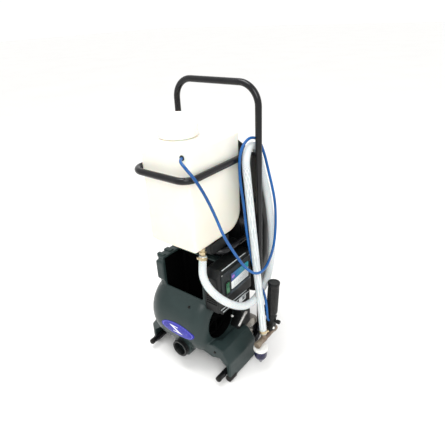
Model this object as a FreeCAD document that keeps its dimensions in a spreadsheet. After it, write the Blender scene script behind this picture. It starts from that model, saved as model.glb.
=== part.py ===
import FreeCAD, Part
import Sketcher
import math
import os
import re
from types import SimpleNamespace
from FreeCAD import Placement, Rotation, Vector

# Spot extractor. Machine frame in millimetres: +X to the machine's right, +Y to the rear, +Z up, and the
# floor at z = 0. x = 0 is the middle of the tube frame and y = 0 is the plane of its two legs. Each kept
# piece's Placement then moves it by origin_x and origin_y, to put the origin under the machine's middle.

SIZES = {
    # where the origin lies in the machine frame; the gap left between pieces that do not touch
    "origin_x": 40.4, "origin_y": -63, "gap": 0.3,
    # bent tube frame
    "tube_od": 22, "tube_bore": 18, "leg_x": 171, "handle_z": 1025, "handle_bend": 70, "foot_tube_z": 33,
    "foot_tube_front": -270, "foot_bend": 55, "cap_length": 12,
    # hoops, flat uprights and cross bars
    "hoop_gap": 1, "hoop_z": 789, "hoop_reach": 15, "hoop_bend": 42, "shelf_hoop_z": 480,
    "shelf_hoop_front": -150, "strip_x": 82, "strip_width": 40, "strip_y": 4, "strip_thick": 5,
    "strip_base": 345, "strip_top": 838, "strip_slope": 22, "cross_depth": 4.7, "cross_height": 30,
    "cross_low_z": 350, "cross_high_z": 600, "bolt_head_od": 14, "bolt_head_length": 5,
    # hose hanger
    "hanger_width": 32, "hanger_base": 640, "hanger_top": 796, "hanger_reach": 36, "hanger_thick": 4,
    "peg_z": 799, "peg_r": 8, "peg_stop_r": 10, "peg_stop": 3,
    # recovery drum and its throat
    "drum_r": 145, "drum_left": 190, "drum_right": 105, "drum_y": -140, "drum_z": 190, "drum_wall": 5,
    "drum_edge_left": 105, "drum_edge_right": 58, "throat_left": 138, "throat_right": 90,
    "throat_front": -222, "throat_back": -98, "throat_top": 424, "throat_base": 200,
    "throat_wall_left": 34, "throat_wall": 14, "throat_corner": 12, "lip_z": 309, "recess_r": 72,
    "recess_depth": 35, "recess_y": -158, "recess_z": 196, "recess_wall": 5, "rim_thick": 4,
    "rim_back": 34,
    # intake grille
    "grille_thick": 4, "grille_rim": 8.5, "grille_bar": 8, "grille_hub_r": 16, "grille_inset": 2,
    # skids and floor pads
    "skid_gap": 2, "skid_wall": 14, "skid_front": -240, "skid_back": -72, "skid_base": 5,
    "skid_top": 142, "skid_side_top": 88, "skid_shoulder_x": 168, "skid_shoulder_z": 130,
    "skid_saddle_x": 120, "skid_tip_x": 70, "skid_tip_z": 90, "skid_under_z": 80, "skid_arch_x": 150,
    "skid_arch_z": 92, "skid_wall_top": 64, "pad_inset": 9, "pad_r": 13, "pad_y": -222, "pad_length": 40,
    "pad_flat": 0.6,
    # vacuum port, badge
    "port_z": 97, "port_od": 62, "port_bore": 50, "port_front": -290, "port_back": -246, "port_bead": 3,
    "port_bead_length": 6, "badge_x": -5, "badge_z": 184, "badge_width": 156, "badge_height": 57,
    "badge_thick": 1.6,
    # control housing, panel, switches
    "housing_left": 92, "housing_right": 150, "housing_front": -226, "housing_back": -24,
    "housing_base": 286, "housing_top": 452, "housing_slope": 24, "vent_count": 6, "vent_pitch": 9,
    "vent_height": 4, "vent_depth": 3, "vent_inset": 6, "vent_z": 320, "panel_front": -205,
    "panel_back": -34, "panel_base": 330, "panel_top": 436, "panel_thick": 2.5, "label_front": -150,
    "label_back": -46, "label_base": 348, "label_top": 412, "label_thick": 0.8, "switch_y": -172,
    "switch_z": 368, "switch_long": 44, "switch_wide": 18, "switch_rim": 3, "switch_depth": 9,
    "switch_gap": 0.5, "switch_rise": 6, "rocker_half": 20.5, "rocker_keel": 4, "rocker_valley": 2,
    # side housing with the latch and the sticker
    "side_left": 107, "side_right": 148, "side_front": -112, "side_back": -28, "side_base": 124,
    "side_top": 284, "side_corner": 6, "latch_length": 62, "latch_width": 13, "latch_thick": 4,
    "latch_pin_od": 6, "latch_y": -68, "latch_z": 190, "latch_lean": 37, "latch_gap": 1, "latch_heel": 4,
    "latch_washer": 2, "sticker_front": -104, "sticker_back": -60, "sticker_base": 251,
    "sticker_top": 277, "sticker_thick": 0.6,
    # motor covers
    "deck_left": -120, "deck_right": 88, "deck_front": -95, "deck_back": -6, "deck_base": 300,
    "deck_top": 466, "deck_edge": 18, "deck_round": 8, "deck_wall": 6, "cover_front": 14,
    "cover_back": 158, "cover_half": 166, "cover_back_half": 92, "cover_cheek": 50, "cover_cheek_y": 44,
    "cover_side_y": 76, "cover_base": 225, "cover_base_half": 145, "cover_low_z": 400,
    "cover_high_z": 520, "cover_waist_half": 152, "cover_waist_z": 610, "cover_neck_half": 118,
    "cover_neck_z": 690, "cover_top": 742, "cover_top_half": 70, "cover_wall": 5, "cover_edge": 26,
    # vacuum motor and the mains lead's gland
    "motor_y": 84, "motor_r": 52, "motor_base": 300, "motor_height": 118, "shroud_r": 62,
    "shroud_height": 46, "shroud_wall": 2.5, "gasket_thick": 6, "motor_shaft_r": 4, "fan_r": 54,
    "fan_thick": 22, "fan_gap": 0.05, "fan_lift": 10, "fan_disc": 2, "fan_hub_r": 14, "blade_count": 9,
    "blade_start": 12, "blade_thick": 2, "mount_plate_r": 72, "mount_plate_depth": 62,
    "mount_plate_thick": 8, "plate_hole_r": 20, "gland_x": 60, "gland_z": 262, "gland_od": 24,
    "gland_length": 18, "gland_neck_r": 7.7, "gland_neck": 12, "gland_hole_r": 8, "gland_bore": 8,
    # wheels and axle
    "wheel_r": 52, "wheel_width": 30, "wheel_room": 29, "wheel_round": 4, "axle_r": 6, "axle_y": 5,
    "axle_inset": 2, "axle_gap": 0.08, "wheel_dish": 5, "wheel_rim": 12, "hub_r": 15, "hub_length": 4,
    "hub_gap": 0.6, "bracket_thick": 5, "bracket_top": 96, "bracket_base": 30, "bracket_front": -26,
    "bracket_back": 22,
    # solution tank, lid and fittings
    "tank_left": -100, "tank_right": 103, "tank_front": -265, "tank_back": -10, "tank_base": 530,
    "tank_top": 875, "tank_corner": 38, "tank_back_curve": 70, "tank_wall": 4, "neck_r": 52,
    "neck_height": 22, "neck_bore": 46, "lid_x": -31, "lid_y": -157, "lid_r": 66, "lid_gap": 4,
    "lid_side": 36, "lid_dome": 32, "lid_wall": 3, "lid_dome_r": 46, "lid_flat_r": 26, "lid_play": 1.2,
    "seal_thick": 3, "grommet_x": 80, "grommet_drop": 24, "grommet_od": 17, "grommet_length": 6,
    "outlet_x": 90, "outlet_y": -218, "outlet_flange_r": 9.5, "outlet_flange": 5, "outlet_r": 8,
    "outlet_end": 500, "outlet_bore": 5, "tray_left": -100, "tray_right": 103, "tray_front": -186,
    "tray_back": -86, "tray_edge": 8,
    # float valve in the drum
    "float_x": -20, "float_y": -68, "cage_r": 27, "cage_wall": 2, "cage_end": 3, "cage_base": 190,
    "cage_height": 78, "slot_half": 9, "slot_low": 8, "slot_high": 12, "ball_r": 17, "ball_z": 213,
    "pipe_r": 18, "pipe_wall": 2.5, "pipe_top": 340, "seat_r": 13.5,
    # hoses
    "hose_od": 27, "line_od": 9.4, "clamp_gap": 0.4, "clamp_thick": 1.6, "clamp_width": 11,
    "clamp_inset": 3,
    # solution pump
    "pump_x": 244, "pump_y": -36, "pump_lean": 6, "head_base": 134, "head_height": 72, "head_r": 19,
    "boss_r": 15, "boss_reach": 16, "boss_z": 164, "boss_length": 32, "motor_case_r": 21.5,
    "motor_case_height": 122, "motor_cap_height": 9, "motor_cap_r": 22.5, "pump_shaft_r": 4,
    "pump_shaft_gap": 0.05, "pump_shaft_foot": 38, "pump_shaft_length": 80, "knob_r": 8,
    "knob_length": 17, "knob_z": 174, "knob_gap": 0.5, "knob_back": 6, "arm_thick": 6, "arm_height": 46,
    "arm_z": 152, "arm_end": 10,
    # inlet pipe and strainer
    "inlet_z": 120, "inlet_r": 13.5, "inlet_front": -133, "inlet_back": -3, "barb_y": -87, "barb_r": 9,
    "barb_top": 147, "bowl_x": 250, "bowl_y": -116, "ring_r": 27, "ring_height": 8, "ring_plate": 4,
    "bowl_r": 24.5, "bowl_height": 70, "bowl_tip_r": 5, "bowl_wall": 2.5, "bowl_fit": 0.08,
    "bowl_slope_low": 24, "bowl_slope_high": 40, "bowl_foot": 6,
}

# sizes that follow from others: what stands beside the frame's legs, round the tank and on it
TIED = {
    "skid_outer": "=leg_x + tube_od / 2 + skid_gap + skid_wall",
    "pad_x": "=leg_x + tube_od / 2 + skid_gap + skid_wall - pad_inset",
    "wheel_outer": "=leg_x - tube_od / 2 - bracket_thick - wheel_room",
    "axle_half": "=leg_x - tube_od / 2 - axle_inset",
    "hoop_x": "=tank_right + hoop_gap + tube_od / 2",
    "hoop_front": "=tank_front - hoop_reach - tube_od / 2",
    "grommet_z": "=tank_top - grommet_drop",
    "lid_base": "=tank_top + lid_gap",
}
CELLS = SIZES | TIED

doc = FreeCAD.newDocument("spot_extractor")
sheet = doc.addObject("Spreadsheet::Sheet", "Sizes")
for row, (alias, content) in enumerate(CELLS.items(), start=1):
    sheet.set(f"A{row}", alias)
    sheet.set(f"B{row}", str(content))
    sheet.setAlias(f"B{row}", alias)
doc.recompute()
size = SimpleNamespace(**{alias: float(sheet.get(alias)) for alias in CELLS})

TURN = {
    "X": Rotation(Vector(0, 1, 0), 90),
    "Y": Rotation(Vector(1, 0, 0), -90),
    "Z": Rotation(),
}
KEPT = []


def cells(text):
    """An expression in which each named size reads its cell of the sheet."""
    return re.sub(r"[a-z_]\w*", lambda word: "Sizes." + word[0] if word[0] in CELLS else word[0], str(text))


def bind(piece, **sizes):
    for prop, text in sizes.items():
        piece.setExpression(prop.replace("__", "."), cells(text))


def put(piece, at, turn=Rotation()):
    """Turn a piece, then place it at a point whose three coordinates are expressions."""
    piece.Placement = Placement(Vector(), turn)
    for letter, text in zip("xyz", at):
        piece.setExpression("Placement.Base." + letter, cells(text))
    return piece


def keep(piece, node):
    """Give a finished piece its node's name, and shift it from the machine frame to the part's origin."""
    piece.Label = node
    held = {path.strip("."): text for path, text in piece.ExpressionEngine}
    for letter, shift in (("x", "origin_x"), ("y", "origin_y")):
        path = "Placement.Base." + letter
        start = held.get(path, "0")
        piece.setExpression(path, f"{start} - Sizes.{shift}")
    KEPT.append(piece)
    return piece


def keep_shape(shape, node):
    """Keep a piece whose shape is made here, with the same shift."""
    piece = doc.addObject("Part::Feature", node)
    piece.Shape = shape
    piece.Placement = Placement(Vector(-size.origin_x, -size.origin_y, 0), Rotation())
    piece.Label = node
    KEPT.append(piece)
    return piece


def cylinder(at, r, length, axis="Z", turn=None):
    piece = doc.addObject("Part::Cylinder", "cylinder")
    bind(piece, Radius=r, Height=length)
    return put(piece, at, turn or TURN[axis])


def box(x0, x1, y0, y1, z0, z1):
    piece = doc.addObject("Part::Box", "box")
    bind(piece, Length=f"({x1}) - ({x0})", Width=f"({y1}) - ({y0})", Height=f"({z1}) - ({z0})")
    return put(piece, (x0, y0, z0))


def joined(*pieces):
    piece = doc.addObject("Part::MultiFuse", "joined")
    piece.Shapes = list(pieces)
    piece.Refine = True
    return piece


def less(base, *tools):
    piece = doc.addObject("Part::Cut", "less")
    piece.Base = base
    piece.Tool = joined(*tools) if len(tools) > 1 else tools[0]
    return piece


def common(*pieces):
    piece = doc.addObject("Part::MultiCommon", "common")
    piece.Shapes = list(pieces)
    return piece


def ring(at, r_out, r_in, length, axis="Z"):
    past = [f"({text}) - 1" if letter == axis else text for letter, text in zip("XYZ", at)]
    return less(cylinder(at, r_out, length, axis), cylinder(past, r_in, f"({length}) + 2", axis))


def sketch_on(body, role, corners):
    """A closed outline on one of the body's origin planes, each corner held by two bound distances."""
    plane = next(item for item in body.Origin.OriginFeatures if item.Role == role)
    sketch = body.newObject("Sketcher::SketchObject", "outline")
    sketch.AttachmentSupport = (plane, [""])
    sketch.MapMode = "FlatFace"
    count = len(corners)
    spread = [math.tau * i / count for i in range(count)]
    start = [Vector(math.cos(angle), math.sin(angle), 0) * 50 for angle in spread]
    for i in range(count):
        sketch.addGeometry(Part.LineSegment(start[i], start[(i + 1) % count]), False)
    for i in range(count):
        sketch.addConstraint(Sketcher.Constraint("Coincident", i, 2, (i + 1) % count, 1))
    for i, corner in enumerate(corners):
        for kind, text, now in zip(("DistanceX", "DistanceY"), corner, (start[i].x, start[i].y)):
            held = sketch.addConstraint(Sketcher.Constraint(kind, -1, 1, i, 1, now))
            sketch.setExpression(f"Constraints[{held}]", cells(text))
    return sketch


def padded(corners, length, role="XY_Plane", at=("0", "0", "0")):
    """A body: a closed outline padded by a length."""
    body = doc.addObject("PartDesign::Body", "body")
    pad = body.newObject("PartDesign::Pad", "pad")
    pad.Profile = sketch_on(body, role, corners)
    bind(pad, Length=length)
    return put(body, at)


def turned(corners, at, axis="Z"):
    """A body: an outline of (radius, height) corners turned about its upright axis."""
    body = doc.addObject("PartDesign::Body", "body")
    sketch = sketch_on(body, "XZ_Plane", corners)
    spin = body.newObject("PartDesign::Revolution", "spin")
    spin.Profile = sketch
    spin.ReferenceAxis = (sketch, ["V_Axis"])
    spin.Angle = 360
    return put(body, at, TURN[axis])


def rounded(body, radius, chosen):
    """Round the edges of a body's last feature that a test picks by their middle point and direction."""
    doc.recompute()
    base = body.Tip
    names = []
    for i, edge in enumerate(base.Shape.Edges, start=1):
        middle = edge.valueAt((edge.FirstParameter + edge.LastParameter) / 2)
        along = edge.tangentAt((edge.FirstParameter + edge.LastParameter) / 2)
        if chosen(middle, along, edge):
            names.append(f"Edge{i}")
    fillet = body.newObject("PartDesign::Fillet", "rounding")
    fillet.Base = (base, names)
    bind(fillet, Radius=radius)
    body.Tip = fillet
    return body


def upright(middle, along, edge):
    return abs(along.z) > 0.99


def block(x0, x1, y0, y1, z0, z1, corner):
    """A body: a block with its four upright edges rounded."""
    body = padded([(x0, y0), (x1, y0), (x1, y1), (x0, y1)], f"({z1}) - ({z0})", at=("0", "0", z0))
    return rounded(body, corner, upright)


def path_wire(points, radii):
    """Straight runs through the points, joined by tangent arcs of the given radii at the inner points."""
    points = [Vector(*point) for point in points]
    edges = []
    start = points[0]
    for before, corner, after, radius in zip(points, points[1:], points[2:], radii):
        back = (before - corner).normalize()
        ahead = (after - corner).normalize()
        half = back.getAngle(ahead) / 2
        reach = radius / math.tan(half)
        entry = corner + back * reach
        leave = corner + ahead * reach
        middle = corner + (back + ahead).normalize() * (radius / math.sin(half) - radius)
        if (entry - start).Length > 1e-6:
            edges.append(Part.LineSegment(start, entry).toShape())
        edges.append(Part.Arc(entry, middle, leave).toShape())
        start = leave
    edges.append(Part.LineSegment(start, points[-1]).toShape())
    return Part.Wire(edges)


def swept(wire, radius):
    start = wire.Edges[0]
    along = start.tangentAt(start.FirstParameter)
    circle = Part.Wire([Part.makeCircle(radius, wire.OrderedVertexes[0].Point, along)])
    return wire.makePipeShell([circle], True, False)


def bent_tube(node, points, radii):
    """A round tube bent through the points."""
    wire = path_wire(points, radii)
    solid = swept(wire, size.tube_od / 2).cut(swept(wire, size.tube_bore / 2))
    return keep_shape(solid, node)


def cord(node, points, diameter):
    """A hose or line as a plain tube, its arcs 0.45 of the shorter run over the tangent of half the turn."""
    points = [Vector(*point) for point in points]
    radii = []
    for before, corner, after in zip(points, points[1:], points[2:]):
        run = min((corner - before).Length, (after - corner).Length)
        turn = (corner - before).getAngle(after - corner)
        radii.append(0.45 * run / math.tan(turn / 2))
    wire = path_wire(points, radii)
    solid = swept(wire, diameter / 2)
    share = solid.Volume / (math.pi * diameter ** 2 / 4 * wire.Length)
    runs = [(b - a).Length for a, b in zip(points, points[1:])]
    print(node, "length", round(wire.Length), "volume share", round(share, 4))
    print("  radii in diameters", [round(radius / diameter, 1) for radius in radii])
    print("  runs", [round(run) for run in runs])
    keep_shape(solid, node)
    return points, wire


# The carrying frame: a bent tube with the push handle at the top and two feet turned forward below the drum.
foot_x = size.leg_x
frame_points = [
    (-foot_x, size.foot_tube_front, size.foot_tube_z), (-foot_x, 0, size.foot_tube_z),
    (-foot_x, 0, size.handle_z), (foot_x, 0, size.handle_z),
    (foot_x, 0, size.foot_tube_z), (foot_x, size.foot_tube_front, size.foot_tube_z),
]
bent_tube("frame_tube", frame_points, [size.foot_bend, size.handle_bend, size.handle_bend, size.foot_bend])

caps = []
for side in (-1, 1):
    at = (f"{side} * leg_x", "foot_tube_front - cap_length", "foot_tube_z")
    caps.append(cylinder(at, "tube_od / 2", "cap_length", "Y"))
keep(joined(*caps), "frame_caps")

# The hoops: bent tubes that end on the flat uprights.
for node, height, front in (("tank_hoop", size.hoop_z, size.hoop_front),
                            ("shelf_hoop", size.shelf_hoop_z, size.shelf_hoop_front)):
    hoop_points = [(-size.hoop_x, size.strip_y, height), (-size.hoop_x, front, height),
                   (size.hoop_x, front, height), (size.hoop_x, size.strip_y, height)]
    bent_tube(node, hoop_points, [size.hoop_bend] * 2)

for side, name in ((-1, "left"), (1, "right")):
    inner = f"{side} * strip_x"
    outer = f"{side} * (strip_x + strip_width)"
    # the XZ sketch plane looks along +Y, so a pad from it grows towards -Y
    strip = padded([(inner, "strip_base"), (outer, "strip_base"), (outer, "strip_top - strip_slope"),
                    (inner, "strip_top")], "strip_thick", "XZ_Plane", ("0", "strip_y + strip_thick", "0"))
    keep(strip, f"upright_{name}")

bars = []
for height in ("cross_low_z", "cross_high_z"):
    bar = box("tube_od / 2 - leg_x", "leg_x - tube_od / 2", "strip_y - cross_depth", "strip_y",
              height, f"{height} + cross_height")
    legs = [cylinder((f"{side} * leg_x", "0", height), "tube_od / 2", "cross_height") for side in (-1, 1)]
    bars.append(less(bar, *legs))
keep(joined(*bars), "cross_bars")

# The hose hanger: a flat strip beside the right leg with a peg that the hose and the line hang over.
hanger_face = "tube_od / 2 - 6"
hanger_strip = box("leg_x - hanger_width", "leg_x - hanger_thick", hanger_face,
                   f"{hanger_face} + hanger_thick", "hanger_base", "hanger_top")
leg = cylinder(("leg_x", "0", "hanger_base - 1"), "tube_od / 2", "hanger_top - hanger_base + 2")
peg = less(cylinder(("leg_x - hanger_reach", "0", "peg_z"), "peg_r", "hanger_reach", "X"),
           cylinder(("leg_x", "0", "peg_z - 2 * peg_r"), "tube_od / 2", "4 * peg_r"))
stop = cylinder(("leg_x - hanger_reach - peg_stop", "0", "peg_z"), "peg_stop_r", "peg_stop", "X")
keep(joined(less(hanger_strip, leg), peg, stop), "hose_hanger")

bolts = []
for side in (-1, 1):
    for height in ("cross_low_z", "cross_high_z"):
        across = f"{side} * (strip_x + strip_width / 2)"
        at = (across, "strip_y + strip_thick", f"{height} + cross_height / 2")
        bolts.append(cylinder(at, "bolt_head_od / 2", "bolt_head_length", "Y"))
keep(joined(*bolts), "upright_bolts")


# The recovery drum: a barrel lying across the machine, with an open throat on top and a recess on its right.
def barrel(grow):
    """The barrel's solid, larger all over by a wall or a skin."""
    left = f"-(drum_left + {grow})"
    right = f"drum_right + {grow}"
    body = turned([("0", left), (f"drum_r + {grow}", left), (f"drum_r + {grow}", right), ("0", right)],
                  ("0", "drum_y", "drum_z"), "X")
    rounded(body, f"drum_edge_left + {grow}", lambda middle, along, edge: edge.Length > 300 and middle.z < 0)
    rounded(body, f"drum_edge_right + {grow}",
            lambda middle, along, edge: edge.Length > 600 and middle.z > size.drum_right - 10)
    return body


def recess(grow, x1):
    return cylinder(("drum_right - recess_depth - " + grow, "recess_y", "recess_z"), "recess_r + " + grow,
                    f"recess_depth + {grow} + {x1}", "X")


throat_outer = block("-throat_left", "throat_right", "throat_front", "throat_back", "throat_base",
                     "throat_top", "throat_corner")
throat_well = box("throat_wall_left - throat_left", "throat_right - throat_wall", "throat_front + drum_wall",
                  "throat_back - throat_wall", "throat_base", "throat_top + 1")
throat_mouth = box("throat_wall_left - throat_left", "throat_right - throat_wall", "throat_front - 40",
                   "throat_back - throat_wall", "lip_z", "throat_top + 1")
hollow = less(joined(barrel("0"), throat_outer), barrel("-drum_wall"), throat_well, throat_mouth)
pipe_hole = cylinder(("float_x", "float_y", "drum_z"), "pipe_r", "deck_top - drum_z")
port_hole = cylinder(("0", "port_front - 5", "port_z"), "port_bore / 2", "port_back - port_front + 30", "Y")
recess_cup = common(recess("recess_wall", "0"), barrel("0"))
keep(less(joined(hollow, recess_cup), recess("0", "recess_r"), pipe_hole, port_hole), "recovery_drum")

rim = less(block("-throat_left", "throat_right", "throat_front", "throat_back", "throat_top",
                 "throat_top + rim_thick", "throat_corner"),
           box("throat_wall_left - throat_left", "throat_right - throat_wall", "throat_front - 5",
               "throat_back - rim_back", "throat_top - 1", "throat_top + rim_thick + 1"))
keep(rim, "throat_rim")

# the intake grille: a ring with three bars and a hub, sunk in the recess
grille_at = ("drum_right - recess_depth + grille_inset", "recess_y", "recess_z")
grille_parts = [ring(grille_at, "recess_r - 0.5", "recess_r - 0.5 - grille_rim", "grille_thick", "X"),
                cylinder(grille_at, "grille_hub_r", "grille_thick", "X")]
half_bar = "(recess_r - grille_rim / 2)"
for step in range(3):
    bar = doc.addObject("Part::Box", "bar")
    bind(bar, Length="grille_thick", Width="grille_bar", Height=f"2 * {half_bar}")
    turn = Rotation(Vector(1, 0, 0), 60 * step)
    offset = turn.multVec(Vector(0, -size.grille_bar / 2, size.grille_rim / 2 - size.recess_r))
    put(bar, (grille_at[0], f"recess_y + ({offset.y})", f"recess_z + ({offset.z})"), turn)
    grille_parts.append(bar)
keep(joined(*grille_parts), "intake_grille")

# The skids: curved side skirts that carry the drum on the floor pads.
pads = []
for side, name in ((-1, "left"), (1, "right")):
    outline = [(f"{side} * {text}", height) for text, height in (
        ("skid_outer", "skid_base"), ("skid_outer", "skid_side_top"), ("skid_shoulder_x", "skid_shoulder_z"),
        ("skid_saddle_x", "skid_top"), ("skid_tip_x", "skid_tip_z"), ("skid_saddle_x", "skid_under_z"),
        ("skid_arch_x", "skid_arch_z"), ("(skid_outer - skid_wall)", "skid_wall_top"),
        ("(skid_outer - skid_wall)", "skid_base"))]
    skirt = padded(outline, "skid_back - skid_front", "XZ_Plane", ("0", "skid_back", "0"))
    room = box("side_left - gap", "side_right + gap", "side_front - gap", "skid_back + 1", "side_base - gap",
               "side_top")
    keep(less(skirt, barrel("gap"), room), f"skid_{name}")
    # a roller lying under the skid, worn to a flat where it stands on the floor
    roller_at = (f"{side} * pad_x", "pad_y - pad_length / 2", "pad_r - pad_flat")
    below = box(f"{side} * pad_x - pad_r", f"{side} * pad_x + pad_r", "pad_y - pad_length",
                "pad_y + pad_length", "0", "skid_base")
    pads.append(common(cylinder(roller_at, "pad_r", "pad_length", "Y"), below))
keep(joined(*pads), "floor_pads")

# The vacuum port: a flanged neck in the drum's front, with its seal.
neck = joined(cylinder(("0", "port_front", "port_z"), "port_od / 2", "port_back - port_front", "Y"),
              cylinder(("0", "port_front", "port_z"), "port_od / 2 + port_bead", "port_bead_length", "Y"))
port_way = cylinder(("0", "port_front - 1", "port_z"), "port_bore / 2", "port_back - port_front + 2", "Y")
keep(less(neck, port_way, barrel("0")), "vacuum_port")

# The badge: an oval plate bent to the drum's front.
oval = doc.addObject("Part::Ellipse", "oval")
bind(oval, MajorRadius="badge_width / 2", MinorRadius="badge_height / 2")
put(oval, ("badge_x", "drum_y - 2 * drum_r", "badge_z"), Rotation(Vector(1, 0, 0), 90))
prism = doc.addObject("Part::Extrusion", "prism")
prism.Base = oval
prism.Dir = Vector(0, 1, 0)
prism.DirMode = "Custom"
prism.Solid = True
bind(prism, LengthFwd="2 * drum_r")
keep(less(common(prism, barrel("badge_thick")), barrel("0")), "badge")

def switch_box(x0, x1, grow):
    """A block the shape of the switch's opening, larger all round."""
    return box(x0, x1, f"switch_y - switch_wide / 2 - ({grow})", f"switch_y + switch_wide / 2 + ({grow})",
               f"switch_z - switch_long / 2 - ({grow})", f"switch_z + switch_long / 2 + ({grow})")


# The control housing, with vents in its front, a panel, a label and a rocker switch on its right.
housing = padded([("housing_front", "housing_base"), ("housing_back", "housing_base"),
                  ("housing_back", "housing_top"), ("housing_front + housing_slope", "housing_top"),
                  ("housing_front", "housing_top - housing_slope")],
                 "housing_right - housing_left", "YZ_Plane", ("housing_left", "0", "0"))
cuts = [barrel("gap")]
for step in range(int(size.vent_count)):
    low = f"vent_z + {step} * vent_pitch"
    cuts.append(box("housing_left + vent_inset", "housing_right - vent_inset", "housing_front - 1",
                    "housing_front + vent_depth", low, f"{low} + vent_height"))
cuts.append(switch_box("housing_right - switch_depth", "housing_right + 1", "0"))
keep(less(housing, *cuts), "control_housing")

face = "housing_right + panel_thick"
panel = box("housing_right", face, "panel_front", "panel_back", "panel_base", "panel_top")
keep(less(panel, switch_box("housing_right - 1", f"{face} + 2", "switch_rim")), "side_panel")
label = box(face, f"{face} + label_thick", "label_front", "label_back", "label_base", "label_top")
keep(label, "panel_label")
keep(less(switch_box("housing_right", f"{face} + 1", "switch_rim - gap"),
          switch_box("housing_right - 1", f"{face} + 6", "0")), "switch_bezel")
# the rocker is a wedge-backed key turned about a level line in its middle
key = [("-rocker_half", "switch_gap"), ("-rocker_keel", "-rocker_keel"), ("rocker_keel", "-rocker_keel"),
       ("rocker_half", "switch_gap"), ("rocker_half", "switch_rise"), ("0", "switch_rise - rocker_valley"),
       ("-rocker_half", "switch_rise - switch_gap")]
rocker = padded(key, "switch_wide - 2 * switch_gap", "XZ_Plane")
put(rocker, ("housing_right - switch_gap", "switch_y + switch_wide / 2 - switch_gap", "switch_z"), TURN["X"])
keep(rocker, "rocker_switch")

# The side housing behind the recess, with its sticker and its swinging latch bar.
side = block("side_left", "side_right", "side_front", "side_back", "side_base", "side_top", "side_corner")
keep(less(side, barrel("gap"), recess("gap", "recess_r")), "side_housing")
keep(box("side_right", "side_right + sticker_thick", "sticker_front", "sticker_back", "sticker_base",
         "sticker_top"), "lower_sticker")
latch_at = ("side_right + latch_gap", "latch_y", "latch_z")
bar = doc.addObject("Part::Box", "bar")
bind(bar, Length="latch_thick", Width="latch_width", Height="latch_length")
turn = Rotation(Vector(1, 0, 0), 90 + size.latch_lean)
low = turn.multVec(Vector(0, -size.latch_width / 2, -size.latch_heel))
put(bar, (latch_at[0], f"latch_y + ({low.y})", f"latch_z + ({low.z})"), turn)
pin_hole = cylinder(("side_right", "latch_y", "latch_z"), "latch_pin_od / 2 + 0.05", "10", "X")
keep(less(bar, pin_hole), "latch_bar")
washer_x = "side_right + latch_thick + 1.5 * latch_gap"
shank = cylinder(("side_right", "latch_y", "latch_z"), "latch_pin_od / 2", "latch_thick + 2 * latch_gap",
                 "X")
washer = cylinder((washer_x, "latch_y", "latch_z"), "latch_pin_od", "latch_washer", "X")
keep(joined(shank, washer), "latch_pin")

# Covers: a low deck behind the throat, and the tall cover of the vacuum motor behind the frame's legs.
deck = block("deck_left", "deck_right", "deck_front", "deck_back", "deck_base", "deck_top", "deck_edge")
rounded(deck, "deck_round", lambda middle, along, edge: middle.z > size.deck_top - size.deck_base - 0.1)
deck_hollow = box("deck_left + deck_wall", "deck_right - deck_wall", "deck_front + deck_wall",
                  "deck_back - deck_wall", "deck_base - 1", "deck_top - deck_wall")
keep(less(deck, deck_hollow, barrel("gap")), "motor_deck")


def mirrored(half, inset):
    """An outline from the corners of its right half, each drawn in towards the middle by an inset."""
    right = [(f"({x}) - {inset}", height) for x, height in half]
    left = [(f"{inset} - ({x})", height) for x, height in reversed(half)]
    return right + left


def cover_body(inset):
    """The tall cover: a rounded plan narrowing to the rear, cut to an outline that tapers upwards."""
    plan_half = [("cover_half - cover_cheek", f"cover_front + {inset}"),
                 ("cover_half", f"cover_cheek_y + {inset}"), ("cover_half", "cover_side_y"),
                 ("cover_back_half", f"cover_back - {inset}")]
    plan = padded(mirrored(plan_half, inset), f"cover_top - cover_base - 2 * {inset}",
                  at=("0", "0", f"cover_base + {inset}"))
    rounded(plan, "cover_edge", upright)
    front_half = [("cover_base_half", "cover_base"), ("cover_half", "cover_low_z"),
                  ("cover_half", "cover_high_z"), ("cover_waist_half", "cover_waist_z"),
                  ("cover_neck_half", "cover_neck_z"), ("cover_top_half", f"cover_top - {inset}")]
    front = padded(mirrored(front_half, inset), "cover_back - cover_front + 20", "XZ_Plane",
                   ("0", "cover_back + 10", "0"))
    return common(plan, front)


gland_foot = ("gland_x", "cover_back - gland_neck", "gland_z")
gland_hole = cylinder(gland_foot, "gland_hole_r", "gland_neck + gland_length", "Y")
keep(less(cover_body("0"), cover_body("cover_wall"), gland_hole), "motor_cover")
gland = less(joined(cylinder(("gland_x", "cover_back", "gland_z"), "gland_od / 2", "gland_length", "Y"),
                    cylinder(gland_foot, "gland_neck_r", "gland_neck + 2", "Y")),
             cylinder(("gland_x", "cover_back - gland_neck - 1", "gland_z"), "gland_bore / 2",
                      "gland_neck + gland_length + 2", "Y"))
keep(gland, "mains_gland")

# The vacuum motor: plate, gasket, fan shroud, fan with its shaft, and the motor case above.
plate_top = "motor_base - gasket_thick"
plate = box("-mount_plate_r", "mount_plate_r", "motor_y - mount_plate_depth", "motor_y + mount_plate_depth",
            f"{plate_top} - mount_plate_thick", plate_top)
keep(less(plate, cylinder(("0", "motor_y", f"{plate_top} - mount_plate_thick - 1"), "plate_hole_r",
                          "mount_plate_thick + 2")), "motor_plate")
keep(ring(("0", "motor_y", plate_top), "shroud_r", "plate_hole_r", "gasket_thick"), "motor_gasket")
shroud_in = cylinder(("0", "motor_y", "motor_base + shroud_wall"), "shroud_r - shroud_wall",
                     "shroud_height - 2 * shroud_wall")
eye = cylinder(("0", "motor_y", "motor_base - 1"), "plate_hole_r", "shroud_wall + 2")
shaft_way = cylinder(("0", "motor_y", "motor_base"), "motor_shaft_r + fan_gap", "shroud_height + 1")
keep(less(cylinder(("0", "motor_y", "motor_base"), "shroud_r", "shroud_height"), shroud_in, eye, shaft_way),
     "fan_shroud")
case_base = "motor_base + shroud_height"
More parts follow.
